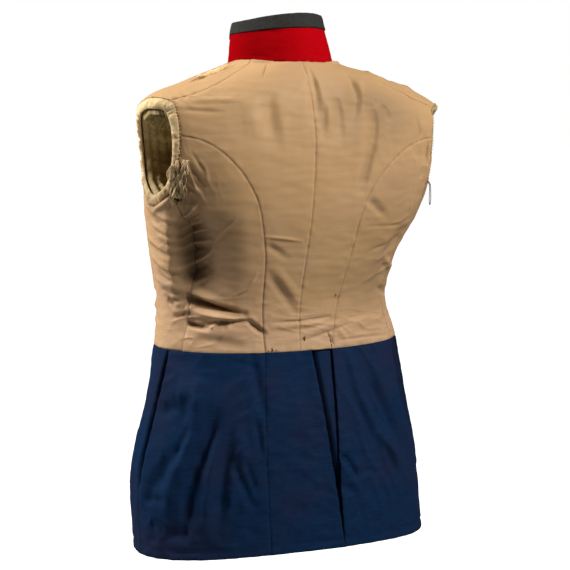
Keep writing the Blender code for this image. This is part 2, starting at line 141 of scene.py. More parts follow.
# Body: six panels of smooth tan cotton, two at the back, two under the arms, two fronts that lap, sewn along
# the centre back, the curved back seams, the sides and the shoulders, and filled out as if worn.
# A place on the worn form is an angle round the wearer, 0 at the centre of the back and positive to the
# wearer's left, and a level, the number of an oval counted up from the hem.
# Columns: back height, side height, front height, width to the left, width to the right, back reach,
# front reach, side reach, fullness of the corners, lean to the wearer's left, rise of the left side.
BODY_RINGS = np.array((
    (-0.655, -0.666, -0.670, 0.2130, 0.2140, 0.122, -0.165, 0.000, 0.04, 0.000, 0.000),
    (-0.554, -0.560, -0.562, 0.2145, 0.2060, 0.113, -0.152, -0.004, 0.05, 0.000, 0.000),
    (-0.464, -0.466, -0.466, 0.1940, 0.1900, 0.097, -0.138, -0.008, 0.06, 0.000, 0.000),
    (-0.390, -0.385, -0.392, 0.1785, 0.1785, 0.070, -0.125, -0.012, 0.08, 0.000, 0.000),
    (-0.330, -0.326, -0.332, 0.1725, 0.1645, 0.068, -0.124, -0.022, 0.08, 0.000, 0.000),
    (-0.265, -0.262, -0.265, 0.1810, 0.1770, 0.089, -0.134, -0.018, 0.10, 0.000, 0.000),
    (-0.200, -0.200, -0.205, 0.1910, 0.2030, 0.109, -0.140, 0.000, 0.12, -0.001, 0.000),
    (-0.130, -0.130, -0.150, 0.2000, 0.2200, 0.115, -0.134, 0.018, 0.10, -0.003, 0.000),
    (-0.072, -0.060, -0.100, 0.2080, 0.2280, 0.110, -0.112, 0.022, 0.00, -0.004, 0.005),
    (-0.030, -0.024, -0.065, 0.1480, 0.1520, 0.098, -0.090, 0.014, 0.00, -0.002, -0.002),
    (0.000, 0.000, -0.045, 0.0740, 0.0740, 0.078, -0.072, 0.000, 0.00, 0.002, 0.000),
))
WAIST = 3.0
NECK = 10.0
# Seam lines on the form. Columns: angle, level.
CURVED_SEAM_LEFT = (
    (15.0, 3.0), (16.5, 4.0), (16.5, 5.0), (18.5, 5.75), (20.5, 6.2),
    (24.0, 6.55), (29.0, 6.88), (36.5, 7.2), (45.0, 7.38), (56.0, 7.44),
)
CURVED_SEAM_RIGHT = (
    (14.5, 3.0), (19.0, 4.0), (20.5, 5.0), (19.5, 5.75), (20.5, 6.2),
    (23.5, 6.55), (28.5, 6.88), (36.0, 7.2), (45.0, 7.38), (56.0, 7.44),
)
SIDE_SEAM = ((59.0, 3.0), (57.0, 4.1), (56.5, 5.0), (59.5, 5.8), (66.0, 6.42))
SHOULDER_SEAM = ((63.5, 8.12), (53.5, 8.5), (50.0, 9.2), (52.0, 10.0))
ARMHOLE = {
    "shoulder_seam": (63.5, 8.12),
    "back_high": (57.0, 7.82),
    "curved_seam": (56.0, 7.44),
    "back_low": (60.0, 6.90),
    "side_seam": (66.0, 6.42),
    "foot": (84.0, 6.15),
    "front_low": (98.0, 6.44),
    "front": (109.0, 7.05),
    "front_high": (106.0, 7.70),
    "ridge": (84.0, 8.12),
}
# Folds and creases of the body, each along one line on the form. Troughs have a negative height.
# Columns: start angle, start level, end angle, end level, half width, height, bow of the line (all three in
# millimetres), skew that widens the left of the run, sharpness of the crest.
BODY_CREASES = {
    # Deep hollow along the left side seam, and the small folds that cross it.
    "flank_hollow": (55.8, 4.15, 57.3, 6.10, 71, -32, 0, 0.42, 0.15),
    "festoon_a_side": (80, 6.02, 61, 5.82, 6, 2.2, 2, 0, 0.2),
    "festoon_a": (62, 5.83, 49, 6.16, 5, 3.6, 2, 0, 0.4),
    "festoon_a_under_side": (78, 5.90, 61, 5.70, 6, -2.2, 2, 0, 0.3),
    "festoon_a_under": (62, 5.70, 48, 6.02, 5, -3.2, 2, 0, 0.4),
    "festoon_b_side": (88, 5.80, 63, 5.56, 7, 1.4, 3, 0, 0.2),
    "festoon_b": (65, 5.56, 46, 5.82, 5, 3.2, 2, 0, 0.4),
    "festoon_b_under": (65, 5.45, 47, 5.70, 4, -2.6, 2, 0, 0.4),
    "festoon_b_under_side": (84, 5.68, 63, 5.45, 5, -2.4, 3, 0, 0.3),
    "festoon_c_under_side": (76, 5.36, 62, 5.25, 4, -2.0, 0, 0, 0.3),
    "festoon_c_side": (80, 5.50, 63, 5.36, 6, 1.5, -2, 0, 0.2),
    "festoon_c": (65, 5.36, 44, 5.60, 4, 2.8, 2, 0, 0.4),
    "festoon_d_side": (97, 5.44, 63, 5.17, 8, 1.8, 3, 0, 0.2),
    "festoon_d": (66, 5.18, 42, 5.36, 5, 3.8, 3, 0, 0.4),
    "festoon_d_under_side": (88, 5.26, 64, 5.04, 8, -2.4, 3, 0, 0.2),
    "festoon_d_under": (66, 5.04, 44, 5.20, 5, -3.6, 3, 0, 0.3),
    "festoon_e_side": (94, 5.08, 61, 4.74, 8, 2.6, 4, 0, 0.2),
    "festoon_e": (64, 4.75, 40, 5.20, 6, 4.8, 7, 0, 0.4),
    "festoon_e_under_side": (86, 4.88, 61, 4.58, 8, -2.8, 3, 0, 0.2),
    "festoon_e_under": (64, 4.58, 44, 4.82, 7, -4.8, 5, 0, 0.3),
    "festoon_f_under_side": (82, 4.68, 66, 4.50, 5, -2.6, 2, 0, 0.3),
    "festoon_f_side": (90, 4.58, 58, 4.36, 7, 2.2, 2, 0, 0.2),
    "festoon_f": (62, 4.37, 44, 4.56, 6, 3.8, 2, 0, 0.4),
    "festoon_f_pocket": (68, 4.64, 62, 4.49, 5, -3.5, 0, 0, 0.4),
    "festoon_f_under": (84, 4.34, 60, 4.20, 6, -3.0, 0, 0, 0.3),
    # Folds pressed together above the left waist.
    "waist_roll_top": (60, 4.36, 33, 4.06, 11, 5, 0, 0, 0.2),
    "waist_trough_front": (74, 4.06, 58, 4.16, 8, -4, 0, 0, 0.3),
    "waist_trough": (59, 4.15, 25, 3.86, 9, -13, 0, -0.25, 0.6),
    "waist_roll_middle": (58, 3.93, 22, 3.72, 12, 9, 0, 0, 0.2),
    "waist_crease_outer": (58, 3.62, 43, 3.52, 7, -8, 0, 0, 0.5),
    "waist_curl": (42, 3.52, 38, 3.70, 5, 5, 0, 0, 0.5),
    "waist_crease_middle": (39, 3.70, 22, 3.72, 7, -8, 0, 0, 0.5),
    "waist_crease_inner": (23, 3.72, 15.5, 3.42, 7, -8, 0, 0, 0.5),
    "waist_roll_low": (55, 3.45, 22, 3.50, 15, 4, 0, 0, 0),
    "waist_hollow_low": (42, 3.26, 22, 3.16, 10, -2.5, 0, 0, 0),
    "waist_dent": (68, 3.73, 60, 3.82, 6, -4, 0, 0, 0.3),
    # Puckered roll under the left armhole.
    "armhole_foot_roll": (62, 6.34, 84, 6.00, 8, 4.0, 0, 0, 0.2),
    "armhole_foot_roll_front": (82, 6.00, 100, 6.30, 8, 3.5, 0, 0, 0.2),
    # Shallow drags on the front of the left side.
    "side_drag_high": (92, 5.98, 74, 5.76, 8, -2.4, 2, 0, 0.2),
    "side_drag_middle": (96, 5.30, 78, 5.12, 8, -2.2, 0, 0, 0.2),
    "side_drag_low": (76, 4.20, 66, 3.94, 8, -3.4, 0, 0, 0.2),
    # Thin pressed creases on the left of the back.
    "pin_crease_high": (41, 5.25, 30, 5.87, 4, 2.2, 0, 0, 0.8),
    "pin_crease_low": (30, 4.28, 20, 4.76, 4, 2.4, 5, 0, 0.8),
    "pin_crease_high_side": (39, 5.42, 31, 5.90, 6, -1.2, 0, 0, 0.3),
    "elbow_pucker_a": (52, 6.92, 45, 6.55, 5, -2.4, 0, 0, 0.5),
    "elbow_pucker_b": (55, 6.62, 46, 6.40, 5, 2.2, 0, 0, 0.5),
    "elbow_pucker_c": (50, 7.15, 44, 6.80, 5, -1.5, 0, 0, 0.5),
    # Middle of the back.
    "back_fold": (18, 5.54, 3, 5.43, 4, 1.9, -1, 0, 0.6),
    "back_fold_shade": (17, 5.40, 8, 5.08, 8, -1.9, 0, 0, 0.2),
    "back_slant": (15, 4.76, 1, 3.88, 10, -2.6, 0, 0, 0.2),
    "back_slant_ridge": (12, 4.85, 0, 4.15, 9, 1.4, 0, 0, 0),
    "back_waist_line": (12, 3.67, -15, 3.73, 4, -2.0, 1, 0, 0.7),
    "back_waist_roll": (11, 3.54, -14, 3.62, 7, 1.8, 0, 0, 0.2),
    "back_waist_slant": (-1, 3.22, -26, 3.54, 5, -2.0, 1, 0, 0.5),
    "back_waist_slant_roll": (-3, 3.38, -24, 3.64, 7, 1.5, 0, 0, 0.2),
    "tuck_right": (-13.5, 3.36, -16, 3.02, 4, -2.2, 0, 0, 0.6),
    "tuck_right_wide": (-18, 3.50, -23, 3.10, 7, 1.6, 0, 0, 0.2),
    "waist_line_right": (-19, 3.17, -52, 3.11, 4, -2.0, -1, 0, 0.6),
    "waist_roll_right": (-20, 3.42, -48, 3.58, 14, 2.0, 0, 0, 0),
    # Upper back.
    "blade_left_ridge": (27, 8.40, 22, 7.60, 15, 1.2, 0, 0, 0),
    "neck_hollow_left": (19, 8.55, 15, 7.40, 17, -3.6, 0, 0.3, 0.1),
    "centre_top": (-3.4, 9.50, -0.8, 7.85, 12, -3.8, 0, 0.4, 0.2),
    "neck_slant_right": (-29, 9.30, -13.5, 7.90, 14, -4.8, 0, 0.45, 0.2),
    "neck_slant_ridge": (-39, 9.30, -19, 8.45, 12, 2.0, 0, 0, 0),
    "back_rib_a": (-4.4, 8.30, -3.0, 7.52, 7, -2.4, 0, 0.45, 0.35),
    "back_rib_ridge": (-6.4, 8.46, -4.8, 7.70, 7, 1.3, 0, 0, 0),
    "back_rib_b": (-10.2, 8.40, -8.4, 7.40, 11, -3.0, 0, 0.45, 0.3),
    "blade_right": (-23.8, 8.24, -19.8, 6.85, 15, -4.0, 0, 0.55, 0.1),
    "blade_right_low": (-20.8, 7.28, -18.4, 6.40, 10, -2.8, 0, 0.5, 0.3),
    "blade_right_ridge": (-20, 8.16, -15.6, 6.85, 14, 2.8, 0, 0, 0),
    "blade_right_far": (-30.4, 8.34, -28.0, 7.80, 8, -2.4, 0, 0, 0.2),
    "shoulder_dent_right": (-31, 8.74, -26, 8.25, 5, -1.8, 0, 0, 0.3),
    "armhole_pull_right": (-44.6, 7.92, -45, 7.40, 5, -3.0, 0, 0, 0.6),
    "armhole_pull_right_low": (-52, 7.30, -54, 6.90, 5, -2.6, 0, 0, 0.5),
    "yoke_left": (55, 7.93, 36, 7.96, 6, -1.4, 0, 0, 0.3),
    "yoke_left_ridge": (54, 8.18, 30, 8.35, 10, 1.5, 0, 0, 0),
    "neck_roll_left": (84, 9.98, 30, 9.98, 5, 4.0, 0, 0, 0.3),
    "neck_roll_right": (-34, 9.97, -88, 9.95, 6, 3.5, 0, 0, 0.3),
    "ridge_bump_right_a": (-86, 9.45, -64, 9.36, 7, 2.4, 0, 0, 0.2),
    "ridge_bump_right_b": (-84, 8.72, -62, 8.68, 9, 2.4, 0, 0, 0.2),
    "ridge_dent_right": (-86, 9.06, -66, 9.02, 8, -2.0, 0, 0, 0.2),
    "neck_dart": (33, 9.86, 28, 9.30, 3.5, -1.5, 0, 0, 0.6),
    # Split along the left shoulder ridge, its lip turned up.
    "burst_gap": (73, 9.14, 68, 9.72, 6, -6.5, 0, 0, 0.2),
    "burst_lip": (64, 9.15, 60, 9.70, 6, 1.5, 0, 0, 0.3),
    # Right of the back.
    "under_arm_right": (-21, 6.25, -32, 5.88, 9, -3.0, 0, 0, 0.2),
    "rib_line_right": (-25, 5.69, -46, 5.66, 5, -1.3, 0, 0, 0.3),
    "rib_line_right_low": (-31, 5.14, -49, 5.31, 6, -1.4, 0, 0, 0.3),
    "flank_hollow_right": (-48, 4.35, -52, 5.75, 30, -5, 0, 0, 0),
    "flank_fold_right": (-66, 4.55, -46, 4.95, 9, 2.5, 0, 0, 0.2),
    "flank_fold_right_low": (-72, 4.05, -48, 4.25, 9, -3.0, 0, 0, 0.3),
    # Fronts, away from the camera.
    "chest_pull_left": (116, 5.50, 152, 4.15, 14, -4.5, 6, 0, 0.2),
    "chest_pull_left_ridge": (112, 5.15, 146, 4.00, 14, 3.0, 4, 0, 0),
    "chest_pull_right": (-114, 5.35, -150, 4.30, 13, -4.5, -5, 0, 0.2),
    "chest_pull_right_ridge": (-118, 5.00, -144, 4.10, 12, 2.5, -4, 0, 0),
    "chest_fall_left": (122, 7.60, 128, 6.10, 12, -3.0, 4, 0, 0.1),
    "chest_fall_right": (-120, 7.50, -131, 6.00, 13, -3.0, -4, 0, 0.1),
    "waist_front_left_a": (96, 4.20, 138, 3.95, 9, -5.0, 0, 0, 0.4),
    "waist_front_left_b": (100, 3.95, 134, 3.70, 11, 4.0, 0, 0, 0.2),
    "waist_front_left_c": (106, 3.55, 150, 3.60, 8, -3.5, 3, 0, 0.4),
    "waist_front_right_a": (-92, 4.12, -136, 4.00, 9, -4.5, 3, 0, 0.4),
    "waist_front_right_b": (-94, 3.86, -130, 3.74, 11, 3.5, 0, 0, 0.2),
    "waist_front_right_c": (-104, 3.52, -146, 3.44, 8, -3.0, -3, 0, 0.4),
    "shoulder_fall_left": (118, 8.70, 140, 7.80, 9, -2.5, 0, 0, 0.2),
    "shoulder_fall_right": (-114, 8.80, -138, 7.70, 10, -2.5, 0, 0, 0.2),
    "button_drag_a": (186, 7.60, 160, 7.20, 6, -1.5, 0, 0, 0.2),
    "button_drag_b": (186, 5.40, 158, 5.60, 6, -1.6, 0, 0, 0.2),
    "button_drag_c": (-160, 6.60, -176, 6.40, 6, -1.2, 0, 0, 0.2),
}
# Crumpled places, where many small creases run the same way.
# Columns: angle, level, reach round, reach up, crease spacing, crease height (these four in millimetres),
# lie of the creases in degrees from level, how many times longer than wide they are.
BODY_CRUMPLES = {
    "left_waist": (42, 3.72, 70, 34, 15, 3.2, -12, 3.5),
    "left_flank": (52, 5.2, 40, 80, 13, 1.8, 12, 3.0),
    "left_armhole": (54, 6.6, 34, 30, 11, 3.0, 60, 2.5),
    "left_side": (72, 5.1, 44, 85, 14, 1.0, -14, 4.0),
    "back_waist": (0, 3.6, 60, 30, 14, 1.3, 8, 4.0),
    "right_waist": (-34, 3.4, 60, 26, 13, 1.6, 10, 3.0),
    "upper_back": (2, 8.2, 90, 50, 20, 0.8, 96, 3.5),
    "right_blade": (-28, 7.4, 40, 50, 16, 0.7, 80, 3.5),
    "right_armhole": (-52, 7.0, 30, 40, 12, 1.8, 70, 3.0),
    "right_flank": (-52, 4.8, 50, 80, 20, 2.2, -20, 3.0),
    "left_shoulder": (58, 8.6, 60, 40, 15, 1.6, 20, 3.0),
    "right_shoulder": (-60, 8.9, 60, 50, 17, 2.0, 70, 2.5),
    "front_waist_left": (118, 3.8, 90, 40, 16, 2.6, 8, 3.5),
    "front_waist_right": (-118, 3.8, 90, 40, 17, 2.6, -8, 3.5),
    "chest_left": (128, 6.6, 60, 80, 24, 2.0, 70, 3.0),
    "chest_right": (-128, 6.5, 60, 80, 24, 2.0, 110, 3.0),
}
# Darkened places under the arms, on the back and at the split of the shoulder: on the left of the back, under
# the left armhole and in the split's gap this is painted shade, and on the right of the back it is soil.
# Columns: angle, level, reach round, reach up (both in millimetres), strength.
BODY_SHADE_AND_SOIL = {
    "left_underarm": (55, 5.06, 41, 80, 0.95),
    "left_low": (60, 4.46, 46, 24, 0.58),
    "left_armhole_foot": (84, 6.10, 30, 18, 0.50),
    "left_panel": (40, 5.40, 48, 72, 0.32),
    "split_left_end": (75.5, 9.05, 5, 6, 0.9),
    "split_edge_low": (70.6, 9.22, 3, 9, 0.8),
    "split_edge_middle": (68.6, 9.42, 3, 9, 0.8),
    "split_edge_high": (66.6, 9.64, 3, 9, 0.8),
    "upper_right": (-26, 8.2, 66, 66, 0.50),
    "right_middle": (-34, 6.3, 50, 56, 0.22),
    "right_low": (-46, 4.5, 66, 66, 0.38),
    "left_waist": (46, 4.25, 46, 16, 0.45),
    "right_underarm": (-66, 5.9, 40, 50, 0.30),
}
# Painted light and shade on the folds: crests are painted lighter than the cloth round them, and narrow
# troughs painted darker.
TROUGH_PAINTED_SHADE = 0.50
TROUGH_HALF = 10
CREST_PAINTED_LIGHT = 0.45
CREST_HEIGHT = 0.0032
TEAR_ANGLE = 60.0
TEAR_LEVEL = 6.60
TEAR_HALF_ANGLE = 4.2
TEAR_HALF_LEVEL = 0.36
TEAR_SLANT = 6.0
# Run of the cloth for one degree and for one level, and the length unit of the tables.
DEGREE_RUN = 0.0030
LEVEL_RUN = 0.066
RUN = np.array((DEGREE_RUN, LEVEL_RUN))
MILLIMETRE = 0.001
# A crease sinks to a part of its height over this part of its length at each end.
CREASE_END = 0.3
CREASE_END_HEIGHT = 0.35
CRUMPLE_SHARPNESS = 2.2
CRUMPLE_LEVEL = 0.3
# Slack of the cloth, pucker and roll along its edges, and the width of the seam's thread.
SLACK_WAVES = (17.0, 52.0)
SMALL_SLACK = 0.45
PUCKER = 0.0009
PUCKER_WAVES = 120.0
PUCKER_REACH = 0.006
FINE_FOLDS = 0.0005
FINE_STRETCH = np.array((0.3, 0.3, 1.0))
ROLL_REACH = 0.0017
SEAM_REACH = 0.0010
SEAM_FAINT = 0.16
WELD = 0.00001
BODY_WALL = 0.0016
LAP_START = 156.0
LAP_FULL = 170.0
LAP_LIFT = 0.0026
FRONT_EDGE = 187.0
BACK_COLUMNS = 92
CHEST = 6.4
CENTRE_STOP = 7.6
FRONT_FOOT = 96.0
# Cut of each panel. Columns: flat width, flat length, flat area, mesh spacing.
BODY_CUTS = {
    "back_left": (0.170, 0.410, 0.0387, 0.0017),
    "back_right": (0.180, 0.410, 0.0429, 0.0017),
    "side_back_left": (0.150, 0.300, 0.0303, 0.0017),
    "side_back_right": (0.150, 0.300, 0.0296, 0.0017),
    "front_left": (0.400, 0.430, 0.1232, 0.0022),
    "front_right": (0.410, 0.430, 0.1309, 0.0030),
}


def blend_rows(rows, place):
    """Smooth rows of numbers at places between the rows of a table."""
    rows = np.asarray(rows, dtype=float)
    place = np.asarray(place, dtype=float)
    last = len(rows) - 1
    first = np.clip(np.floor(place).astype(int), 0, last - 1)
    part = (place - first)[..., None]
    start, end = rows[first], rows[first + 1]
    before, after = rows[np.maximum(first - 1, 0)], rows[np.minimum(first + 2, last)]
    slope_start = (end - before) / np.where(first > 0, 2.0, 1.0)[..., None]
    slope_end = (after - start) / np.where(first < last - 1, 2.0, 1.0)[..., None]
    rise = end - start
    curve = slope_start + slope_end - 2 * rise
    bend = 3 * rise - 2 * slope_start - slope_end
    return start + part * (slope_start + part * (bend + part * curve))


def form_points(rings, angle, level):
    """Points of the worn form at angles in degrees and levels."""
    columns = np.moveaxis(blend_rows(rings, level), -1, 0)
    back_z, side_z, front_z, left_x, right_x, back_y, front_y, side_y, fullness, lean, rise = columns
    sine, cosine = np.sin(np.radians(angle)), np.cos(np.radians(angle))
    reach = np.where(cosine > 0, back_y - side_y, side_y - front_y)
    end_z = np.where(cosine > 0, back_z, front_z)
    x = np.where(sine > 0, left_x, right_x) * sine * (1 + fullness * cosine**2) + lean
    y = side_y + reach * cosine * (1 + fullness * sine**2)
    z = side_z + (end_z - side_z) * cosine**2 + rise * sine
    return np.stack((x, y, z), axis=-1)


def outward_ways(rings, angle, level):
    """Outward directions of the worn form."""
    top = len(rings) - 1
    round_way = form_points(rings, angle + 0.5, level) - form_points(rings, angle - 0.5, level)
    higher = np.minimum(level + 0.02, top)
    lower = np.maximum(level - 0.02, 0.0)
    up_way = form_points(rings, angle, higher) - form_points(rings, angle, lower)
    way = np.cross(up_way, round_way)
    return way / np.linalg.norm(way, axis=-1, keepdims=True)


def soft_step(part):
    return part * part * (3 - 2 * part)


def crease_height(creases, angle, level):
    """How far a table of creases moves the cloth out at each place."""
    total = np.zeros_like(angle)
    for start_angle, start_level, end_angle, end_level, half, height, bow, skew, sharp in creases.values():
        run_x, run_y = (end_angle - start_angle) * DEGREE_RUN, (end_level - start_level) * LEVEL_RUN
        length = math.hypot(run_x, run_y)
        way_x, way_y = run_x / length, run_y / length
        x, y = (angle - start_angle) * DEGREE_RUN, (level - start_level) * LEVEL_RUN
        along = (x * way_x + y * way_y) / length
        part = np.clip(along, 0.0, 1.0)
        aside = y * way_x - x * way_y - bow * MILLIMETRE * 4 * part * (1 - part)
        width = half * MILLIMETRE * np.where(aside > 0, 1 + skew, 1 - skew)
        near = np.hypot(aside / width, (along - part) * length / (half * MILLIMETRE))
        keep = np.clip(1.0 - near, 0.0, 1.0)
        ends = np.clip(np.minimum(part, 1 - part) / CREASE_END, 0.0, 1.0)
        fade = CREASE_END_HEIGHT + (1 - CREASE_END_HEIGHT) * soft_step(ends)
        total += height * MILLIMETRE * fade * keep * keep * ((1 - sharp) * (1 + 2 * near) + sharp)
    return total


def zone_places(angle, level, middle_angle, middle_level, reach_x, reach_y):
    """Places in millimetres from the middle of a zone, and how strong the zone is there."""
    x, y = (angle - middle_angle) * DEGREE_RUN / MILLIMETRE, (level - middle_level) * LEVEL_RUN / MILLIMETRE
    return x, y, np.exp(-((x / reach_x) ** 2) - (y / reach_y) ** 2)


def crumple_height(crumples, angle, level):
    """Many small sharp creases inside soft-edged zones."""
    total = np.zeros_like(angle)
    for seed, row in enumerate(crumples.values()):
        gap, height, lie, longer = row[4:]
        x, y, mask = zone_places(angle, level, *row[:4])
        inside = np.nonzero(mask > 0.03)[0]
        turn = math.radians(lie)
        along = (x[inside] * math.cos(turn) + y[inside] * math.sin(turn)) / (gap * longer)
        across = (y[inside] * math.cos(turn) - x[inside] * math.sin(turn)) / gap
        wave = np.array([noise.noise(Vector((a, b, 7.1 * seed + 0.5))) for a, b in zip(along, across)])
        crest = (1 - np.minimum(1.0, np.abs(wave) * CRUMPLE_SHARPNESS)) ** 2
        total[inside] += height * MILLIMETRE * mask[inside] * (crest - CRUMPLE_LEVEL)
    return total


def dense_line(rows, side=1, first=None, last=None, closed=False):
    """Many places along a seam table, on the wearer's left (1) or right (-1)."""
    table = np.array(list(rows.values()) if isinstance(rows, dict) else rows, dtype=float)
    names = list(rows) if isinstance(rows, dict) else []
    start = names.index(first) if first else 0
    end = names.index(last) if last else len(table) - 1
    if closed:
        end = end + len(table) if end <= start else end
        table = np.concatenate((table[-2:], table, table, table[:2]))
        start, end = start + 2, end + 2
    line = blend_rows(table, np.linspace(start, end, 40 * (end - start) + 1))
    return line * np.array((side, 1.0))


def run_of(line):
    """Distance travelled along a line of places, in metres on the unrolled form."""
    steps = np.diff(line, axis=0) * RUN
    return np.concatenate(((0.0,), np.cumsum(np.hypot(steps[:, 0], steps[:, 1]))))


def edge_fractions(count):
    """Parts of the way along a line, with finer steps next to its two ends."""
    steps = np.ones(count)
    fine = (0.25, 0.35, 0.5, 0.75)
    steps[:len(fine)] = fine
    steps[-len(fine):] = fine[::-1]
    return np.concatenate(((0.0,), np.cumsum(steps))) / steps.sum()


def even_line(line, steps):
    """The same line at a number of even steps, or at given parts of its length."""
    line = np.asarray(line, dtype=float)
    run = run_of(line)
    parts = np.linspace(0.0, 1.0, steps + 1) if isinstance(steps, int) else steps
    wanted = run[-1] * parts
    return np.stack((np.interp(wanted, run, line[:, 0]), np.interp(wanted, run, line[:, 1])), axis=-1)


def joined_line(*lines):
    """One line from lines that follow on from each other."""
    return np.concatenate([lines[0]] + [line[1:] for line in lines[1:]])


def steps_for(line, spacing):
    return max(2, int(round(run_of(np.asarray(line, dtype=float))[-1] / spacing)))


def patch_places(bottom, top, left, right, across=None, up=None):
    """Grid of places between four seam lines that meet at their ends."""
    u = (np.linspace(0.0, 1.0, len(bottom)) if across is None else across)[None, :, None]
    v = (np.linspace(0.0, 1.0, len(left)) if up is None else up)[:, None, None]
    sides = (1 - u) * left[:, None] + u * right[:, None]
    ends = (1 - v) * bottom[None] + v * top[None]
    low = (1 - u) * bottom[0] + u * bottom[-1]
    high = (1 - u) * top[0] + u * top[-1]
    return sides + ends - (1 - v) * low - v * high


def grid_mesh(work, points):
    """A bmesh grid moved onto rows of points; returns its corners in row order."""
    rows, columns = points.shape[0] - 1, points.shape[1] - 1
    made = bmesh.ops.create_grid(work, x_segments=columns, y_segments=rows, size=0.5)["verts"]
    ordered = [None] * len(made)
    for corner in made:
        row = int(round((corner.co.y + 0.5) * rows))
        column = int(round((corner.co.x + 0.5) * columns))
        ordered[row * (columns + 1) + column] = corner
        corner.co = points[row, column]
    return ordered


def soft_noise(points, per_metre, seed):
    """Smooth seeded noise at points of the cloth."""
    shift = Vector((seed * 3.7, seed * 1.9, seed * 5.3))
    return np.array([noise.noise(Vector(point) * per_metre + shift) for point in points])


def mesh_piece(name, work, *materials):
    """Smooth object made of a finished bmesh."""
    mesh = bpy.data.meshes.new(name)
    work.to_mesh(mesh)
    work.free()
    for material in materials:
        mesh.materials.append(material)
    mesh.shade_smooth()
    piece = bpy.data.objects.new(name, mesh)
    scene.collection.objects.link(piece)
    return piece


def add_wall(piece, wall, offset=-1.0):
    """Thickness of the cloth, by default all inside its outer face."""
    thickness = piece.modifiers.new("wall", "SOLIDIFY")
    thickness.thickness = wall
    thickness.offset = offset
    return thickness


def shade_and_soil_at(shade_and_soil, creases, angle, level):
    """Painted shade and soil of the zones, painted shade in narrow troughs, painted light on the crests."""
    shade_and_soil_amount = np.zeros(len(angle))
    if not shade_and_soil:
        return shade_and_soil_amount
    for row in shade_and_soil.values():
        shade_and_soil_amount = np.maximum(shade_and_soil_amount, row[4] * zone_places(angle, level, *row[:4])[2])
    narrow = {name: row for name, row in creases.items() if row[5] < 0 and row[4] <= TROUGH_HALF}
    troughs = np.clip(-crease_height(narrow, angle, level) / CREST_HEIGHT, 0.0, 1.0)
    raised = {name: row for name, row in creases.items() if row[5] > 0}
    crests = np.clip(crease_height(raised, angle, level) / CREST_HEIGHT, 0.0, 1.0)
    return np.maximum(shade_and_soil_amount, TROUGH_PAINTED_SHADE * troughs) * (1 - CREST_PAINTED_LIGHT * crests)


def make_cloth(name, grids, rings, creases, crumples, wall, outside, inside, lift=None, roll=0.0008,
               slack=0.0008, marked_line=None, torn=None, shade_and_soil=None, shade=None):
    """Thin cloth piece from grids of places: form, creases, soft slack, edges rolled in at the seams.
    The marked line shows dark, as painted shadow of the gap along it and, where it is a seam, its thread; the
    other edges show faint dark thread. The shade function adds painted shade to that mark, and the zones and
    folds add painted shade, painted light on crests, and soil."""
    work = bmesh.new()
    seam_and_shade_mark = work.verts.layers.float.new("seam")
    shade_and_soil_mark = work.verts.layers.float.new("shade_and_soil")
    angles, levels, corners = [], [], []
    for places in grids:
        corners += grid_mesh(work, form_points(rings, places[..., 0], places[..., 1]))
        angles.append(places[..., 0].ravel())
        levels.append(places[..., 1].ravel())
    angle, level = np.concatenate(angles), np.concatenate(levels)
    base = form_points(rings, angle, level)
    way = outward_ways(rings, angle, level)
    face = work.faces[:][len(work.faces) // 2]
    face.normal_update()
    middle = np.mean([way[corners.index(corner)] for corner in face.verts], axis=0)
    if face.normal.dot(Vector(middle)) < 0:
        bmesh.ops.reverse_faces(work, faces=work.faces)
    spots = {}
    for number, point in enumerate(base):
        spots.setdefault(tuple(np.round(point, 6)), []).append(number)
    shared = {number for numbers in spots.values() if len(numbers) > 1 for number in numbers}
    edge = [number for number, corner in enumerate(corners) if corner.is_boundary and number not in shared]
    tree = kdtree.KDTree(len(edge))
    for number in edge:
        tree.insert(base[number], number)
    tree.balance()
    strength = np.full(len(base), SEAM_FAINT)
    if marked_line is not None:
        for number in edge:
            gap = (marked_line - (angle[number], level[number])) * RUN
            if np.min(np.hypot(gap[:, 0], gap[:, 1])) < SEAM_REACH:
                strength[number] = 1.0
    nearest = [tree.find(point) for point in base]
    off_edge = np.array([found[2] for found in nearest])
    mark = np.array([strength[found[1]] for found in nearest]) * np.exp(-((off_edge / SEAM_REACH) ** 2))
    height = crease_height(creases, angle, level) + crumple_height(crumples, angle, level)
    broad, small = (soft_noise(base, waves, seed) for waves, seed in zip(SLACK_WAVES, (1, 2)))
    height += slack * broad + SMALL_SLACK * slack * small
    height += PUCKER * soft_noise(base, PUCKER_WAVES, 3) * np.exp(-off_edge / PUCKER_REACH)
    height += FINE_FOLDS * soft_noise(base * FINE_STRETCH, PUCKER_WAVES, 4)
    height -= roll * np.exp(-((off_edge / ROLL_REACH) ** 2))
    if lift is not None:
        height += lift(angle, level)
    points = base + way * height[:, None]
    # Painted shade in the zones and troughs, painted light on the crests, and soil.
    shade_and_soil_amount = shade_and_soil_at(shade_and_soil, creases, angle, level)
    # The shade function adds painted shade to the seam mark.
    if shade is not None:
        mark = np.maximum(mark, shade(angle, level))
    for corner, point, dark, shade_and_soil_here in zip(corners, points, mark, shade_and_soil_amount):
        corner.co = point
        corner[seam_and_shade_mark] = dark
        corner[shade_and_soil_mark] = shade_and_soil_here
    if torn is not None:
        lost = [corner for corner, gone in zip(corners, torn(angle, level)) if gone]
        bmesh.ops.delete(work, geom=lost, context="VERTS")
    bmesh.ops.remove_doubles(work, verts=work.verts, dist=WELD)
    piece = mesh_piece(name, work, outside, inside)
    add_wall(piece, wall).material_offset = 1
    return piece


# Threads and slubs shared by all the cloths: fine streaks along the weft and the warp, and a thread relief.
weave = bpy.data.node_groups.new("cloth_weave", "ShaderNodeTree")
for socket_name, default in (("Threads per metre", 500.0), ("Streaks per metre", 18.0)):
    socket = weave.interface.new_socket(socket_name, in_out="INPUT", socket_type="NodeSocketFloat")
    socket.default_value = default
for socket_name in ("Streaks", "Relief"):
    weave.interface.new_socket(socket_name, in_out="OUTPUT", socket_type="NodeSocketFloat")
weave_in = weave.nodes.new("NodeGroupInput")
weave_out = weave.nodes.new("NodeGroupOutput")
weave_place = weave.nodes.new("ShaderNodeTexCoord")


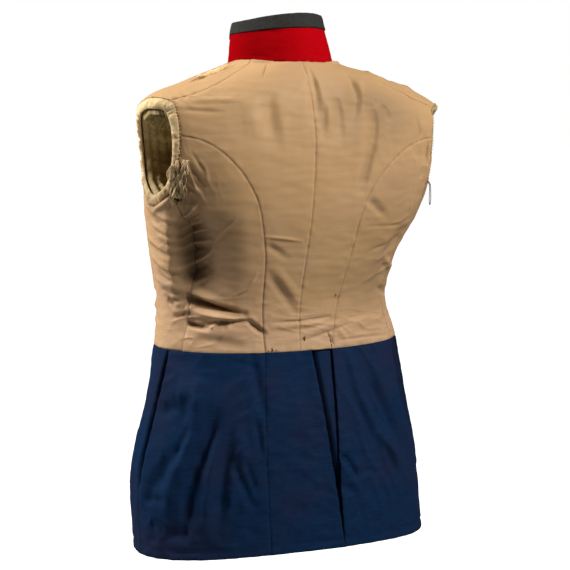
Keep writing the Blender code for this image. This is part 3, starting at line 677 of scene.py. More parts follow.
def weave_noise(x_socket, y_socket, z_socket, detail):
    """Stretched noise whose three scales come from the group's inputs."""
    scale = weave.nodes.new("ShaderNodeCombineXYZ")
    for axis, name in enumerate((x_socket, y_socket, z_socket)):
        weave.links.new(weave_in.outputs[name], scale.inputs[axis])
    stretch = weave.nodes.new("ShaderNodeVectorMath")
    stretch.operation = "MULTIPLY"
    weave.links.new(weave_place.outputs["Object"], stretch.inputs[0])
    weave.links.new(scale.outputs[0], stretch.inputs[1])
    texture = weave.nodes.new("ShaderNodeTexNoise")
    texture.inputs["Scale"].default_value = 1.0
    texture.inputs["Detail"].default_value = detail
    weave.links.new(stretch.outputs[0], texture.inputs["Vector"])
    return texture.outputs[0]


weft = weave_noise("Streaks per metre", "Streaks per metre", "Threads per metre", 3.0)
warp = weave_noise("Threads per metre", "Threads per metre", "Streaks per metre", 2.0)
grain = weave_noise("Threads per metre", "Threads per metre", "Threads per metre", 2.0)
streak_mix = weave.nodes.new("ShaderNodeMix")
streak_mix.inputs[0].default_value = 0.36
weave.links.new(weft, streak_mix.inputs[2])
weave.links.new(warp, streak_mix.inputs[3])
weave.links.new(streak_mix.outputs[0], weave_out.inputs["Streaks"])
relief_mix = weave.nodes.new("ShaderNodeMix")
relief_mix.inputs[0].default_value = 0.5
weave.links.new(streak_mix.outputs[0], relief_mix.inputs[2])
weave.links.new(grain, relief_mix.inputs[3])
weave.links.new(relief_mix.outputs[0], weave_out.inputs["Relief"])

# Colour mixed in where the cloth has painted shade, and where it has soil.
SHADE_AND_SOIL_COLOUR = (0.135, 0.088, 0.046)
SEAM_DARKEST = 0.75
# A faded colour comes in between two heights, along an uneven edge.
FADED_HEIGHTS = (-0.36, -0.12)
FADED_UNEVEN = 0.22
FADED_MOST = 0.8


def cloth_material(name, dark, light, stain, seam_and_shade_colour, threads=520.0, streaks=16.0, contrast=(0.36, 0.64),
                   roughness=(0.50, 0.66), relief=0.0004, stain_scale=7.0, stain_most=0.55, specular=0.35,
                   stain_from=(0.45, 0.70), faded=None):
    """Woven cloth: streaked thread colour, large soft stains, painted shade and soil, dark thread and painted
    shadow along seams and edges, fine relief.
    """
    material = bpy.data.materials.new(name)
    material.use_nodes = True
    nodes, links = material.node_tree.nodes, material.node_tree.links
    shader = nodes["Principled BSDF"]
    shader.inputs["Specular IOR Level"].default_value = specular
    threads_node = nodes.new("ShaderNodeGroup")
    threads_node.node_tree = weave
    threads_node.inputs["Threads per metre"].default_value = threads
    threads_node.inputs["Streaks per metre"].default_value = streaks

    def ranged(source, low, high, to_low, to_high):
        node = nodes.new("ShaderNodeMapRange")
        for number, value in enumerate((low, high, to_low, to_high)):
            node.inputs[number + 1].default_value = value
        links.new(source, node.inputs[0])
        return node.outputs[0]

    def mixed(factor, first, second):
        node = nodes.new("ShaderNodeMix")
        node.data_type = "RGBA"
        links.new(factor, node.inputs[0])
        for number, colour in ((6, first), (7, second)):
            if isinstance(colour, tuple):
                node.inputs[number].default_value = (*colour, 1.0)
            else:
                links.new(colour, node.inputs[number])
        return node.outputs[2]

    streak = ranged(threads_node.outputs["Streaks"], *contrast, 0.0, 1.0)
    place = nodes.new("ShaderNodeTexCoord")
    blot = nodes.new("ShaderNodeTexNoise")
    blot.inputs["Scale"].default_value = stain_scale
    blot.inputs["Detail"].default_value = 3.0
    links.new(place.outputs["Object"], blot.inputs["Vector"])
    colour = mixed(streak, dark, light)
    colour = mixed(ranged(blot.outputs[0], *stain_from, 0.0, stain_most), colour, stain)
    if faded is not None:
        split = nodes.new("ShaderNodeSeparateXYZ")
        links.new(place.outputs["Object"], split.inputs[0])
        uneven = nodes.new("ShaderNodeMath")
        uneven.operation = "MULTIPLY_ADD"
        uneven.inputs[1].default_value = FADED_UNEVEN
        links.new(blot.outputs[0], uneven.inputs[0])
        links.new(split.outputs["Z"], uneven.inputs[2])
        low, high = (height + FADED_UNEVEN / 2 for height in FADED_HEIGHTS)
        colour = mixed(ranged(uneven.outputs[0], low, high, 0.0, FADED_MOST), colour, faded)
    # Painted shade and soil from the mesh darken the colour.
    shade_and_soil = nodes.new("ShaderNodeAttribute")
    shade_and_soil.attribute_name = "shade_and_soil"
    colour = mixed(ranged(shade_and_soil.outputs["Fac"], 0.0, 1.0, 0.0, 1.0), colour, SHADE_AND_SOIL_COLOUR)
    # The seam mark darkens it further: seam thread, and painted shade and shadow.
    mark = nodes.new("ShaderNodeAttribute")
    mark.attribute_name = "seam"
    colour = mixed(ranged(mark.outputs["Fac"], 0.0, 1.0, 0.0, SEAM_DARKEST), colour, seam_and_shade_colour)
    links.new(colour, shader.inputs["Base Color"])
    links.new(ranged(threads_node.outputs["Streaks"], 0.3, 0.7, *roughness), shader.inputs["Roughness"])
    bump = nodes.new("ShaderNodeBump")
    bump.inputs["Strength"].default_value = 0.5
    bump.inputs["Distance"].default_value = relief
    links.new(threads_node.outputs["Relief"], bump.inputs["Height"])
    links.new(bump.outputs[0], shader.inputs["Normal"])
    return material


tan_cotton = cloth_material("tan_cotton", (0.472, 0.294, 0.166), (0.550, 0.352, 0.206), (0.43, 0.262, 0.108),
                            (0.10, 0.055, 0.025), roughness=(0.50, 0.64), contrast=(0.32, 0.68),
                            specular=0.16, faded=(0.476, 0.290, 0.134))
tan_reverse = cloth_material("tan_reverse", (0.36, 0.255, 0.14), (0.45, 0.33, 0.19), (0.38, 0.27, 0.13),
                             (0.16, 0.10, 0.05), roughness=(0.65, 0.8))


def lap_part(angle):
    """How far the left front has risen over the right one, from none to all."""
    return soft_step(np.clip((angle - LAP_START) / (LAP_FULL - LAP_START), 0.0, 1.0))


def left_lap(angle, level):
    return LAP_LIFT * lap_part(angle)


def armhole_tear(angle, level):
    """Ragged hole worn through the left side back panel beside its armhole."""
    across = (angle - TEAR_ANGLE + (level - TEAR_LEVEL) * TEAR_SLANT) / TEAR_HALF_ANGLE
    up = (level - TEAR_LEVEL) / TEAR_HALF_LEVEL
    ragged = np.array([noise.noise(Vector((a * 0.9, b * 14.0, 3.3))) for a, b in zip(angle, level)])
    return across**2 + up**2 + 0.9 * ragged < 1.0


def hang_cloth(piece, node):
    """Gives a cloth piece its body and hides the solid it replaces."""
    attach(piece, "root")
    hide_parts(node)


for side, word in ((1, "left"), (-1, "right")):
    curved = dense_line(CURVED_SEAM_LEFT if side > 0 else CURVED_SEAM_RIGHT, side)
    side_line = dense_line(SIDE_SEAM, side)
    shoulder = dense_line(SHOULDER_SEAM, side)
    hole_back = dense_line(ARMHOLE, side, "shoulder_seam", "curved_seam", closed=True)[::-1]
    hole_side = dense_line(ARMHOLE, side, "curved_seam", "side_seam", closed=True)
    hole_foot = dense_line(ARMHOLE, side, "side_seam", "front_low", closed=True)
    hole_front = dense_line(ARMHOLE, side, "front_low", "shoulder_seam", closed=True)
    panels = {}

    spacing = BODY_CUTS["back_" + word][3]
    outer_lines = (curved, hole_back, shoulder)
    up_steps = [steps_for(line, spacing) for line in outer_lines]
    outer = joined_line(*(even_line(line, count) for line, count in zip(outer_lines, up_steps)))
    centre = joined_line(
        even_line(((0.0, WAIST), (0.0, CENTRE_STOP)), up_steps[0]),
        even_line(((0.0, CENTRE_STOP), (0.0, NECK)), up_steps[1] + up_steps[2]),
    )
    across = edge_fractions(BACK_COLUMNS)
    waist_line = even_line((centre[0], outer[0]), across)
    neck_line = even_line((centre[-1], outer[-1]), across)
    panels["back_" + word] = [patch_places(waist_line, neck_line, centre, outer, across)]

    spacing = BODY_CUTS["side_back_" + word][3]
    up = edge_fractions(steps_for(curved, spacing))
    across = edge_fractions(steps_for(((15.0, WAIST), (59.0, WAIST)), spacing))
    panels["side_back_" + word] = [patch_places(
        even_line((curved[0], side_line[0]), across), even_line(hole_side, across),
        even_line(curved, up), even_line(side_line, up), across, up,
    )]

    spacing = BODY_CUTS["front_" + word][3]
    chest_edge = (side * FRONT_EDGE, CHEST)
    chest_count = steps_for(((104, CHEST), (FRONT_EDGE, CHEST)), spacing)
    chest = even_line((hole_foot[-1], chest_edge), chest_count)
    foot_count = steps_for(hole_foot, spacing)
    low_count = steps_for(side_line, spacing)
    foot_end = (side * FRONT_FOOT, WAIST)
    low_patch = patch_places(
        joined_line(even_line((side_line[0], foot_end), foot_count),
                    even_line((foot_end, (side * FRONT_EDGE, WAIST)), len(chest) - 1)),
        joined_line(even_line(hole_foot, foot_count), chest),
        even_line(side_line, low_count),
        even_line(((side * FRONT_EDGE, WAIST), chest_edge), low_count),
    )
    high_counts = [steps_for(hole_front, spacing), steps_for(shoulder, spacing)]
    high_patch = patch_places(
        chest,
        even_line((shoulder[-1], (side * FRONT_EDGE, NECK)), len(chest) - 1),
        joined_line(even_line(hole_front, high_counts[0]), even_line(shoulder, high_counts[1])),
        even_line((chest_edge, (side * FRONT_EDGE, NECK)), sum(high_counts)),
    )
    panels["front_" + word] = [low_patch, high_patch]

    for node, grids in panels.items():
        lap = left_lap if node == "front_left" else None
        torn = armhole_tear if node == "side_back_left" else None
        # The left curved seam shows dark: its thread and painted shadow of the seam's gap.
        marked = curved if side > 0 else None
        panel = make_cloth(node + "_cloth", grids, BODY_RINGS, BODY_CREASES, BODY_CRUMPLES, BODY_WALL,
                           tan_cotton, tan_reverse, lap, marked_line=marked, torn=torn, shade_and_soil=BODY_SHADE_AND_SOIL)
        hang_cloth(panel, node)

# Armhole rims and linings: a folded cream cotton edge sewn round each armhole, and behind it the cream
# lining of the sleeve, turned in and lying in loose folds.
# Columns: into the hole, out of the cloth, inward along the wearer's side.
RIM_SECTION = ((0.0002, 0.0002, 0.0), (0.0022, 0.0020, 0.0), (0.0060, 0.0030, 0.0), (0.0096, 0.0018, 0.0006),
               (0.0112, -0.0008, 0.0014))
LINING_SECTION = (
    (0.0092, -0.0034, 0.0010), (0.0152, -0.0050, 0.006), (0.0124, -0.0050, 0.011), (0.0176, -0.0050, 0.017),
    (0.0134, -0.0050, 0.022), (0.0186, -0.0050, 0.029), (0.0130, -0.0050, 0.034), (0.0160, -0.0050, 0.041),
)
RIM_REACH = RIM_SECTION[-1][0]
RIM_WIDTH_AT_FOOT = 0.95
RIM_WIDTH_AT_TOP = 1.50
# Passes that smooth the inner edge of the rim to an egg shape.
RIM_ROUNDING = 320
# The rim is narrower behind and in front of these angles.
RIM_BACK_ANGLE = 76.0
RIM_FRONT_ANGLE = 92.0
RIM_BLEND = 14.0
RIM_BACK_NARROWING = 0.26
RIM_FRONT_NARROWING = 0.70
RIM_GATHERS = 0.0011
RIM_GATHER_WAVES = 430.0
# On the right the rim is turned in, flat and darker all round.
RIM_TURNED_ON_RIGHT = 0.9
RIM_FLAT_ON_RIGHT = 0.25
RIM_DARKENING_ON_RIGHT = 0.5
RIM_FOOT_DARKENING = 0.50
RIM_BACK_DARKENING = 0.38
RIM_WALL = 0.0012
RIM_ROWS = 12
RIM_PUCKER = 0.0022
LINING_WALL = 0.0010
LINING_ROWS = 42
LINING_PUCKER = 0.0016
RING_STEPS = 300
# Loose folds of each lining. Columns: part of the way round, half width in degrees of that way, height in mm.
LINING_FOLDS = (
    (0.03, 13, 3.0), (0.09, 9, -3.5), (0.15, 10, 3.5), (0.22, 14, -4.0), (0.29, 8, 4.0), (0.36, 12, -3.0),
    (0.45, 15, 4.0), (0.52, 9, -4.5), (0.59, 9, 6.0), (0.64, 8, -4.0), (0.69, 9, 6.5), (0.75, 9, -4.0),
    (0.81, 11, 5.5), (0.88, 12, -3.5), (0.94, 9, 3.0),
)

cream_cotton = cloth_material("cream_cotton", (0.68, 0.470, 0.222), (0.93, 0.690, 0.374), (0.50, 0.33, 0.13),
                              (0.36, 0.24, 0.10), threads=700.0, streaks=260.0, roughness=(0.62, 0.8),
                              contrast=(0.40, 0.60), stain_scale=60.0, stain_most=0.75)
# The lining is cream cloth like the rim, drawn darker with olive blotches: painted shade inside the armhole.
cream_lining_painted_shade = cloth_material("cream_lining_painted_shade", (0.37, 0.268, 0.100), (0.56, 0.415, 0.168),
                              (0.20, 0.146, 0.048), (0.30, 0.20, 0.08), threads=600.0, streaks=220.0,
                              roughness=(0.6, 0.8), stain_scale=14.0, stain_most=0.8)


def ring_piece(name, side, section, rows, wall, material, gather, folds):
    """Cloth swept round an armhole: the section's columns set how far each row goes in, out and inward."""
    ring = even_line(dense_line(ARMHOLE, side, "shoulder_seam", "shoulder_seam", closed=True), RING_STEPS)
    angle, level = ring[:, 0], ring[:, 1]
    out = outward_ways(BODY_RINGS, angle, level)
    edge = form_points(BODY_RINGS, angle, level) + out * crease_height(BODY_CREASES, angle, level)[:, None]
    way = np.roll(edge[:-1], -1, axis=0) - np.roll(edge[:-1], 1, axis=0)
    way = np.concatenate((way, way[:1]))
    way /= np.linalg.norm(way, axis=1, keepdims=True)
    hole_way = np.cross(way, out) * side
    height = (edge[:, 2] - edge[:, 2].min()) / np.ptp(edge[:, 2])
    width = RIM_WIDTH_AT_FOOT + (RIM_WIDTH_AT_TOP - RIM_WIDTH_AT_FOOT) * height**1.5
    behind = np.clip((RIM_BACK_ANGLE - np.abs(angle)) / RIM_BLEND, 0.0, 1.0)
    before = np.clip((np.abs(angle) - RIM_FRONT_ANGLE) / RIM_BLEND, 0.0, 1.0)
    width *= 1 - RIM_BACK_NARROWING * soft_step(behind)
    width *= 1 - RIM_FRONT_NARROWING * soft_step(before)
    turned, flat, darker_all_round = (0.0, 1.0, 0.0)
    if side < 0:
        turned, flat, darker_all_round = RIM_TURNED_ON_RIGHT, RIM_FLAT_ON_RIGHT, RIM_DARKENING_ON_RIGHT
    width *= 1 - 0.5 * turned
    inward = np.array((-side, 0.0, -0.15))
    smooth = edge[:-1]
    for number in range(RIM_ROUNDING):
        smooth = (np.roll(smooth, 1, axis=0) + smooth + np.roll(smooth, -1, axis=0)) / 3
    rounding = np.concatenate((smooth, smooth[:1])) - edge
    ripple = np.zeros(len(edge))
    turn = np.linspace(0.0, 1.0, len(edge))
    for middle, half, fold in folds:
        gap = np.abs((turn - middle + 0.5) % 1.0 - 0.5) * 360.0 / half
        ripple += fold * MILLIMETRE * np.clip(1 - gap * gap, 0.0, 1.0) ** 2
    gathers = soft_noise(edge, RIM_GATHER_WAVES, 12 + side)
    points = np.zeros((rows + 1, len(edge), 3))
    section_rows = blend_rows(section, np.linspace(0, len(section) - 1, rows + 1))
    for row, (into, proud, deep) in enumerate(section_rows):
        part = row / rows
        swell = math.sin(math.pi * min(1.0, part * 1.3)) ** 0.5
        pucker = gather * swell * (soft_noise(edge + inward * part * 0.004, 130.0, 5 + side)
                                   + 0.6 * soft_noise(edge - inward * part * 0.006, 310.0, 8 + side))
        pucker += RIM_GATHERS * swell * gathers
        points[row] = edge + hole_way * (into * width + ripple * part + 0.7 * pucker)[:, None]
        points[row] += rounding * min(1.0, into / RIM_REACH)
        points[row] += out * (flat * (max(proud, 0.0) + pucker) + min(proud, 0.0))[:, None]
        points[row] += inward * (deep + turned * min(into, RIM_REACH))
    points[:, -1] = points[:, 0]
    work = bmesh.new()
    seam_and_shade_mark = work.verts.layers.float.new("seam")
    shade_and_soil_mark = work.verts.layers.float.new("shade_and_soil")
    corners = grid_mesh(work, points)
    for number, corner in enumerate(corners):
        corner[seam_and_shade_mark] = 0.5 * math.exp(-((number // len(edge)) ** 2))
        column = number % len(edge)
        # Darker towards the foot of the armhole, behind it, and all round on the right.
        at_foot = RIM_FOOT_DARKENING * (1 - height[column]) ** 2
        corner[shade_and_soil_mark] = max(at_foot, RIM_BACK_DARKENING * behind[column], darker_all_round)
    bmesh.ops.remove_doubles(work, verts=work.verts, dist=WELD)
    work.faces.ensure_lookup_table()
    face = work.faces[0]
    face.normal_update()
    if face.normal.dot(Vector(out[0])) < 0:
        bmesh.ops.reverse_faces(work, faces=work.faces)
    piece = mesh_piece(name, work, material)
    add_wall(piece, wall)
    return piece


for side, word in ((1, "left"), (-1, "right")):
    rim_node, lining_node = "armhole_rim_" + word, "armhole_lining_" + word
    rim = ring_piece(rim_node + "_cloth", side, RIM_SECTION, RIM_ROWS, RIM_WALL, cream_cotton, RIM_PUCKER, ())
    hang_cloth(rim, rim_node)
    lining = ring_piece(lining_node + "_cloth", side, LINING_SECTION, LINING_ROWS, LINING_WALL, cream_lining_painted_shade,
                        LINING_PUCKER, LINING_FOLDS)
    hang_cloth(lining, lining_node)

# Collar: a tall standing band of red wool sewn to the neck seam, open edge to edge at the front, with a
# narrow black wool band laid round its top edge.
COLLAR_RINGS = np.array((
    (-0.0012, -0.0012, -0.0440, 0.0722, 0.0722, 0.0762, -0.0702, 0.000, 0.00, 0.002, 0.0000),
    (0.0335, 0.0310, -0.0060, 0.0665, 0.0665, 0.070, -0.065, 0.000, 0.00, 0.005, -0.0020),
    (0.0635, 0.0580, 0.0320, 0.0605, 0.0605, 0.061, -0.059, -0.001, 0.00, 0.007, -0.0045),
))
COLLAR_END = 177.0
COLLAR_TOP = 2.0
COLLAR_WALL = 0.0024
BAND_WALL = 0.0014
BAND_LOW_LEVEL = 1.36
BAND_OFF = 0.0017
COLLAR_COLUMNS = 220
COLLAR_ROWS = 34
BAND_ROWS = 12
# Part of the collar darkened with painted shade. Columns: angle where it starts, reach of its start, angle
# and reach of its end.
COLLAR_DARKENED = 0.85
COLLAR_DARK_FROM = (12.0, 36.0)
COLLAR_DARK_TO = (130.0, 30.0)
# Same columns as the body's creases; a level of the collar is half its height.
COLLAR_CREASES = {
    "under_band": (40, 1.24, -50, 1.20, 4, -0.8, 0, 0, 0.3),
    "seat_left": (70, 0.35, 30, 0.20, 6, -0.7, 0, 0, 0.2),
    "seat_right": (-10, 0.25, -55, 0.30, 6, -0.6, 0, 0, 0.2),
    "stand_front_left": (120, 0.8, 150, 0.5, 7, -0.9, 0, 0, 0.2),
    "stand_front_right": (-115, 0.6, -150, 0.9, 7, -0.9, 0, 0, 0.2),
}

red_wool = cloth_material("red_wool", (0.34, 0.0012, 0.004), (0.43, 0.0020, 0.006), (0.37, 0.0010, 0.003),
                          (0.20, 0.001, 0.002), threads=900.0, streaks=260.0, roughness=(0.75, 0.9),
                          relief=0.0006, stain_scale=18.0, specular=0.0)
black_wool = cloth_material("black_wool", (0.018, 0.018, 0.016), (0.036, 0.036, 0.033), (0.030, 0.030, 0.028),
                            (0.010, 0.010, 0.010), threads=900.0, streaks=260.0, roughness=(0.8, 0.95),
                            relief=0.0006, stain_scale=30.0, specular=0.1)


def band_places(low, high, rows):
    """Grid round the neck between two levels of the collar."""
    low_right, low_left = (-COLLAR_END, low), (COLLAR_END, low)
    high_right, high_left = (-COLLAR_END, high), (COLLAR_END, high)
    return patch_places(even_line((low_right, low_left), COLLAR_COLUMNS),
                        even_line((high_right, high_left), COLLAR_COLUMNS),
                        even_line((low_right, high_right), rows), even_line((low_left, high_left), rows))


def band_lift(angle, level):
    return np.full_like(angle, BAND_OFF)


def collar_shade(angle, level):
    """Painted shade on the left side of the collar."""
    begun = np.clip((angle - COLLAR_DARK_FROM[0]) / COLLAR_DARK_FROM[1], 0.0, 1.0)
    left_over = np.clip((COLLAR_DARK_TO[0] - angle) / COLLAR_DARK_TO[1], 0.0, 1.0)
    return COLLAR_DARKENED * begun * left_over


stand_grid = band_places(0.0, COLLAR_TOP, COLLAR_ROWS)
stand = make_cloth("collar_stand_cloth", [stand_grid], COLLAR_RINGS, COLLAR_CREASES, {}, COLLAR_WALL,
                   red_wool, red_wool, roll=0.0004, slack=0.0006, shade=collar_shade)
hang_cloth(stand, "collar_stand")
band_grid = band_places(BAND_LOW_LEVEL, COLLAR_TOP, BAND_ROWS)
band = make_cloth("collar_edge_band_cloth", [band_grid], COLLAR_RINGS, COLLAR_CREASES, {}, BAND_WALL,
                  black_wool, black_wool, lift=band_lift, roll=0.0002, slack=0.0006)
hang_cloth(band, "collar_edge_band")

# Skirt: panels of dark blue wool sewn to the waist seam, with a vent at the back over a strip set behind it,
# an open pocket line down each side, and a turned hem.
VENT_EDGE = ((-5.0, 3.0), (-6.3, 2.0), (-8.6, 1.0), (-12.0, 0.0))
PLEAT_EDGE = ((-14.5, 3.0), (-12.6, 2.0), (-11.2, 1.0), (-12.0, 0.0))
SKIRT_SEAM = ((15.0, 3.0), (16.8, 2.0), (16.2, 1.0), (16.0, 0.0))
POCKET_LINE = ((72.0, 3.0), (79.0, 2.0), (83.0, 1.0), (84.0, 0.0))
STRIP_LEFT = ((2.0, 3.0), (-2.0, 0.0))
STRIP_RIGHT = ((-18.5, 3.0), (-17.5, 0.0))
SKIRT_WALL = 0.0020
STRIP_SINK = 0.0036
STRIP_FOLD = 0.0110
STRIP_FOLD_WIDTH = 0.0075
STRIP_FADE_LEVEL = 0.5
STRIP_SHADE_REACH = 0.0066
STRIP_SHADE_BLEND = 0.0020
POCKET_SHADE = 0.8
POCKET_SHADE_ANGLE = 66.0
POCKET_SHADE_BLEND = 5.0
POCKET_SHADE_LEVEL = 1.4
POCKET_SHADE_RISE = 0.4
SKIRT_ROWS = 84
SKIRT_LAP_LIFT = 0.0031
VENT_LIFT = 0.0022
PLEAT_LIFT = 0.0008
EDGE_LIFT_REACH = 3.0
HEM_LEVEL = 0.105
HEM_GROOVE = 0.0014
HEM_GROOVE_REACH = 0.0022
HEM_GROOVE_RUN = 0.1
HEM_THICKNESS = 0.0006
# Same columns as the body's creases.
SKIRT_CREASES = {
    # Open pocket lines at both sides.
    "pocket_slit_left_high": (72.5, 2.92, 79, 2.0, 9, -7, 0, 0, 0.8),
    "pocket_slit_left_low": (79, 2.05, 83, 0.95, 10, -8, 0, 0, 0.8),
    "pocket_slit_right_high": (-72.5, 2.92, -79, 2.0, 8, -6, 0, 0, 0.8),
    "pocket_slit_right_low": (-79, 2.05, -83, 1.10, 9, -6, 0, 0, 0.8),
    "pocket_foot_left": (78, 0.72, 60, 0.77, 6, -4, 0, 0, 0.4),
    "pocket_foot_right": (-76, 0.80, -62, 0.84, 6, -3, 0, 0, 0.4),
    # Left side of the back.
    "hip_bulge_left": (62, 2.33, 44, 2.33, 26, 7, 0, 0, 0),
    "hip_shade_left": (72, 2.02, 50, 2.10, 15, -4.6, 0, 0, 0.1),
    "fan_ridge_a_high": (46, 2.35, 52.5, 1.30, 19, 6.5, 0, 0, 0.1),
    "fan_ridge_a_low": (52, 1.46, 61, 0.62, 20, 6.0, 0, 0, 0.1),
    "fan_trough_a_high": (50, 1.80, 57.5, 1.28, 11, -5.5, 0, 0, 0.2),
    "fan_trough_a_low": (57, 1.32, 75, 0.74, 18, -5.0, 0, 0, 0.1),
    "fan_trough_b_high": (38, 1.95, 45, 1.15, 13, -7.5, 0, 0, 0.1),
    "fan_trough_b_low": (44.3, 1.32, 51, 0.40, 15, -9.5, 0, 0, 0.1),
    "fan_ridge_b": (36.5, 1.60, 41.5, 0.45, 12, 6.5, 0, 0, 0.1),
    "fan_trough_c": (31, 1.60, 35.5, 0.42, 12, -7, 0, 0, 0.1),
    "fan_ridge_c": (28, 1.75, 25, 1.25, 11, 4.5, 0, 0, 0.1),
    "fan_trough_d": (29.5, 1.28, 21.8, 0.66, 8, -5, 0, 0, 0.3),
    "seam_wrinkle_a": (24.3, 1.28, 20.2, 0.82, 5, -4.2, 0, 0, 0.5),
    "seam_wrinkle_b": (21.2, 1.94, 18.2, 1.36, 6, -3.8, 0, 0, 0.4),
    "seam_band": (20.8, 2.92, 17.4, 1.90, 12, -5, 0, 0, 0.2),
    "seam_pucker_a": (20, 1.22, 10, 1.20, 4, -2.2, 0, 0, 0.4),
    "seam_pucker_b": (19, 1.08, 12, 1.06, 4, -1.8, 0, 0, 0.4),
    "waist_ease_left": (30, 2.86, 18, 2.70, 8, -2.0, 0, 0, 0.2),
    "hem_dent_left_a": (71, 0.56, 69, 0.36, 6, -1.8, 0, 0, 0.4),
    "hem_dent_left_b": (76, 0.22, 66, 0.24, 5, -2.4, 0, 0, 0.3),
    "hem_hollow_left": (63, 0.33, 47, 0.35, 9, -4.5, 0, 0, 0.3),
    "hem_line_slant_left": (40, 0.55, 20, 0.30, 8, -1.6, 0, 0, 0.2),
    # Right side of the back.
    "drape_right_high": (-22, 2.8, -24, 2.1, 13, 5.5, 0, -0.3, 0.3),
    "drape_right_middle": (-24, 2.15, -30, 1.55, 13, 7.0, 0, -0.3, 0.3),
    "drape_right_low": (-30, 1.58, -43, 0.98, 13, 6.5, 0, -0.3, 0.3),
    "drape_hollow_right": (-31, 2.5, -47, 1.25, 17, -9, 0, 0, 0.1),
    "drape_outer_right": (-44, 2.5, -60, 1.0, 20, 3, 0, 0, 0),
    "hip_hollow_right": (-59, 2.94, -59, 1.60, 9, -7, 0, 0, 0.5),
    "pleat_crease_a": (-11.8, 1.25, -18.5, 0.90, 6, -6.5, -3, 0, 0.5),
    "pleat_crease_roll": (-12, 1.10, -16, 0.92, 5, 2.0, 0, 0, 0.3),
    "pleat_crease_b": (-19, 1.02, -31, 0.92, 5, -2.4, 0, 0, 0.4),
    "pleat_crease_c": (-12, 0.80, -17, 0.70, 5, -2.0, 0, 0, 0.4),
    "back_mark_low": (14, 1.30, 4, 1.28, 4, -1.0, 0, 0, 0.3),
    "back_mark_vent": (-2, 1.56, -7.5, 1.54, 4, -1.2, 0, 0, 0.3),
    # Fronts, away from the camera.
    "front_hollow_left": (106, 2.4, 111, 0.1, 26, -6, 4, 0, 0.1),
    "front_ridge_left": (128, 2.3, 134, 0.0, 26, 5, 3, 0, 0.1),
    "front_hollow_left_b": (146, 1.6, 150, 0.1, 16, -3, 0, 0, 0.1),
    "front_hollow_right": (-103, 2.3, -110, 0.1, 25, -5.5, -4, 0, 0.1),
    "front_ridge_right": (-126, 2.4, -132, 0.0, 25, 5.5, -3, 0, 0.1),
    "front_hollow_right_b": (-147, 1.9, -152, 0.2, 15, -3, 0, 0, 0.1),
    "side_ridge_right": (-92, 2.2, -95, 0.2, 18, 3.5, 0, 0, 0.1),
    "side_ridge_left": (94, 2.0, 96, 0.3, 18, 3, 0, 0, 0.1),
}
# Same columns as the body's crumpled places.
SKIRT_CRUMPLES = {
    "left_hip": (54, 2.0, 70, 60, 22, 2.4, -8, 2.5),
    "left_hem": (50, 0.4, 110, 40, 16, 3.0, 6, 3.0),
    "left_seam": (22, 1.4, 30, 100, 12, 4.0, -40, 2.5),
    "right_drape": (-30, 1.6, 60, 100, 22, 4.5, 60, 3.0),
    "right_pleat": (-17, 1.0, 26, 50, 11, 3.0, -20, 2.5),
    "back_panel": (0, 1.3, 34, 110, 10, 2.4, 8, 3.0),
    "front_left": (125, 1.4, 120, 100, 34, 2.4, 80, 3.0),
    "front_right": (-125, 1.4, 120, 100, 34, 2.4, 100, 3.0),
}
# Mesh spacing of the skirt's back and side panels, and of its fronts.
BACK_SPACING = 0.0025
FRONT_SPACING = 0.0032

navy_wool = cloth_material("navy_wool", (0.0036, 0.0150, 0.045), (0.0061, 0.0228, 0.066),
                           (0.0140, 0.0152, 0.039), (0.002, 0.003, 0.008), threads=650.0, streaks=60.0,
                           roughness=(0.72, 0.86), stain_scale=9.0, stain_most=0.62, specular=0.03,
                           stain_from=(0.44, 0.66))
navy_reverse = cloth_material("navy_reverse", (0.005, 0.010, 0.030), (0.008, 0.015, 0.045),
                              (0.008, 0.010, 0.028), (0.002, 0.003, 0.008), threads=650.0, streaks=60.0,
                              roughness=(0.8, 0.95))


def hem_groove(angle, level):
    """Shallow line of the hem's stitching, and the hem's slight thickness below it."""
    groove = -HEM_GROOVE * np.exp(-(((level - HEM_LEVEL) * HEM_GROOVE_RUN) / HEM_GROOVE_REACH) ** 2)
    return groove + HEM_THICKNESS * np.clip(1 - level / HEM_LEVEL, 0.0, 1.0)


def edge_angle(rows, level):
    """Angle of a line of the skirt at each level."""
    line = np.array(rows[::-1])
    return np.interp(level, line[:, 1], line[:, 0])


def vent_lift(angle, level):
    """The vent's left edge stands a little off the strip behind it."""
    near = np.exp(-((angle - edge_angle(VENT_EDGE, level)) / EDGE_LIFT_REACH) ** 2)
    return hem_groove(angle, level) + VENT_LIFT * near


def pleat_lift(angle, level):
    """So does the pleat's edge on the right."""
    near = np.exp(-((angle - edge_angle(PLEAT_EDGE, level)) / EDGE_LIFT_REACH) ** 2)
    return hem_groove(angle, level) + PLEAT_LIFT * near


def strip_sink(angle, level):
    """The strip lies behind the vent and folds deeper in along the vent's left edge."""
    aside = (edge_angle(VENT_EDGE, level) - angle) * DEGREE_RUN
    near_hem = np.clip(level / STRIP_FADE_LEVEL, 0.0, 1.0)
    return -STRIP_SINK - STRIP_FOLD * near_hem * np.clip(1 - aside / STRIP_FOLD_WIDTH, 0.0, 1.0)


def strip_shade(angle, level):
    """Painted shadow on the strip, in the fold along the vent where it shows past the vent's edge."""
    past = np.maximum(0.0, (edge_angle(VENT_EDGE, level) - angle) * DEGREE_RUN - STRIP_SHADE_REACH)
    return np.exp(-((past / STRIP_SHADE_BLEND) ** 2))


def pocket_shade(angle, level):
    """Painted shadow of the open pocket along the upper half of the right pocket line."""
    near = np.exp(-(((angle + POCKET_SHADE_ANGLE) / POCKET_SHADE_BLEND) ** 2))
    high = np.clip((level - POCKET_SHADE_LEVEL) / POCKET_SHADE_RISE, 0.0, 1.0)
    return POCKET_SHADE * near * high


def skirt_lap(angle, level):
    return hem_groove(angle, level) + SKIRT_LAP_LIFT * lap_part(angle)


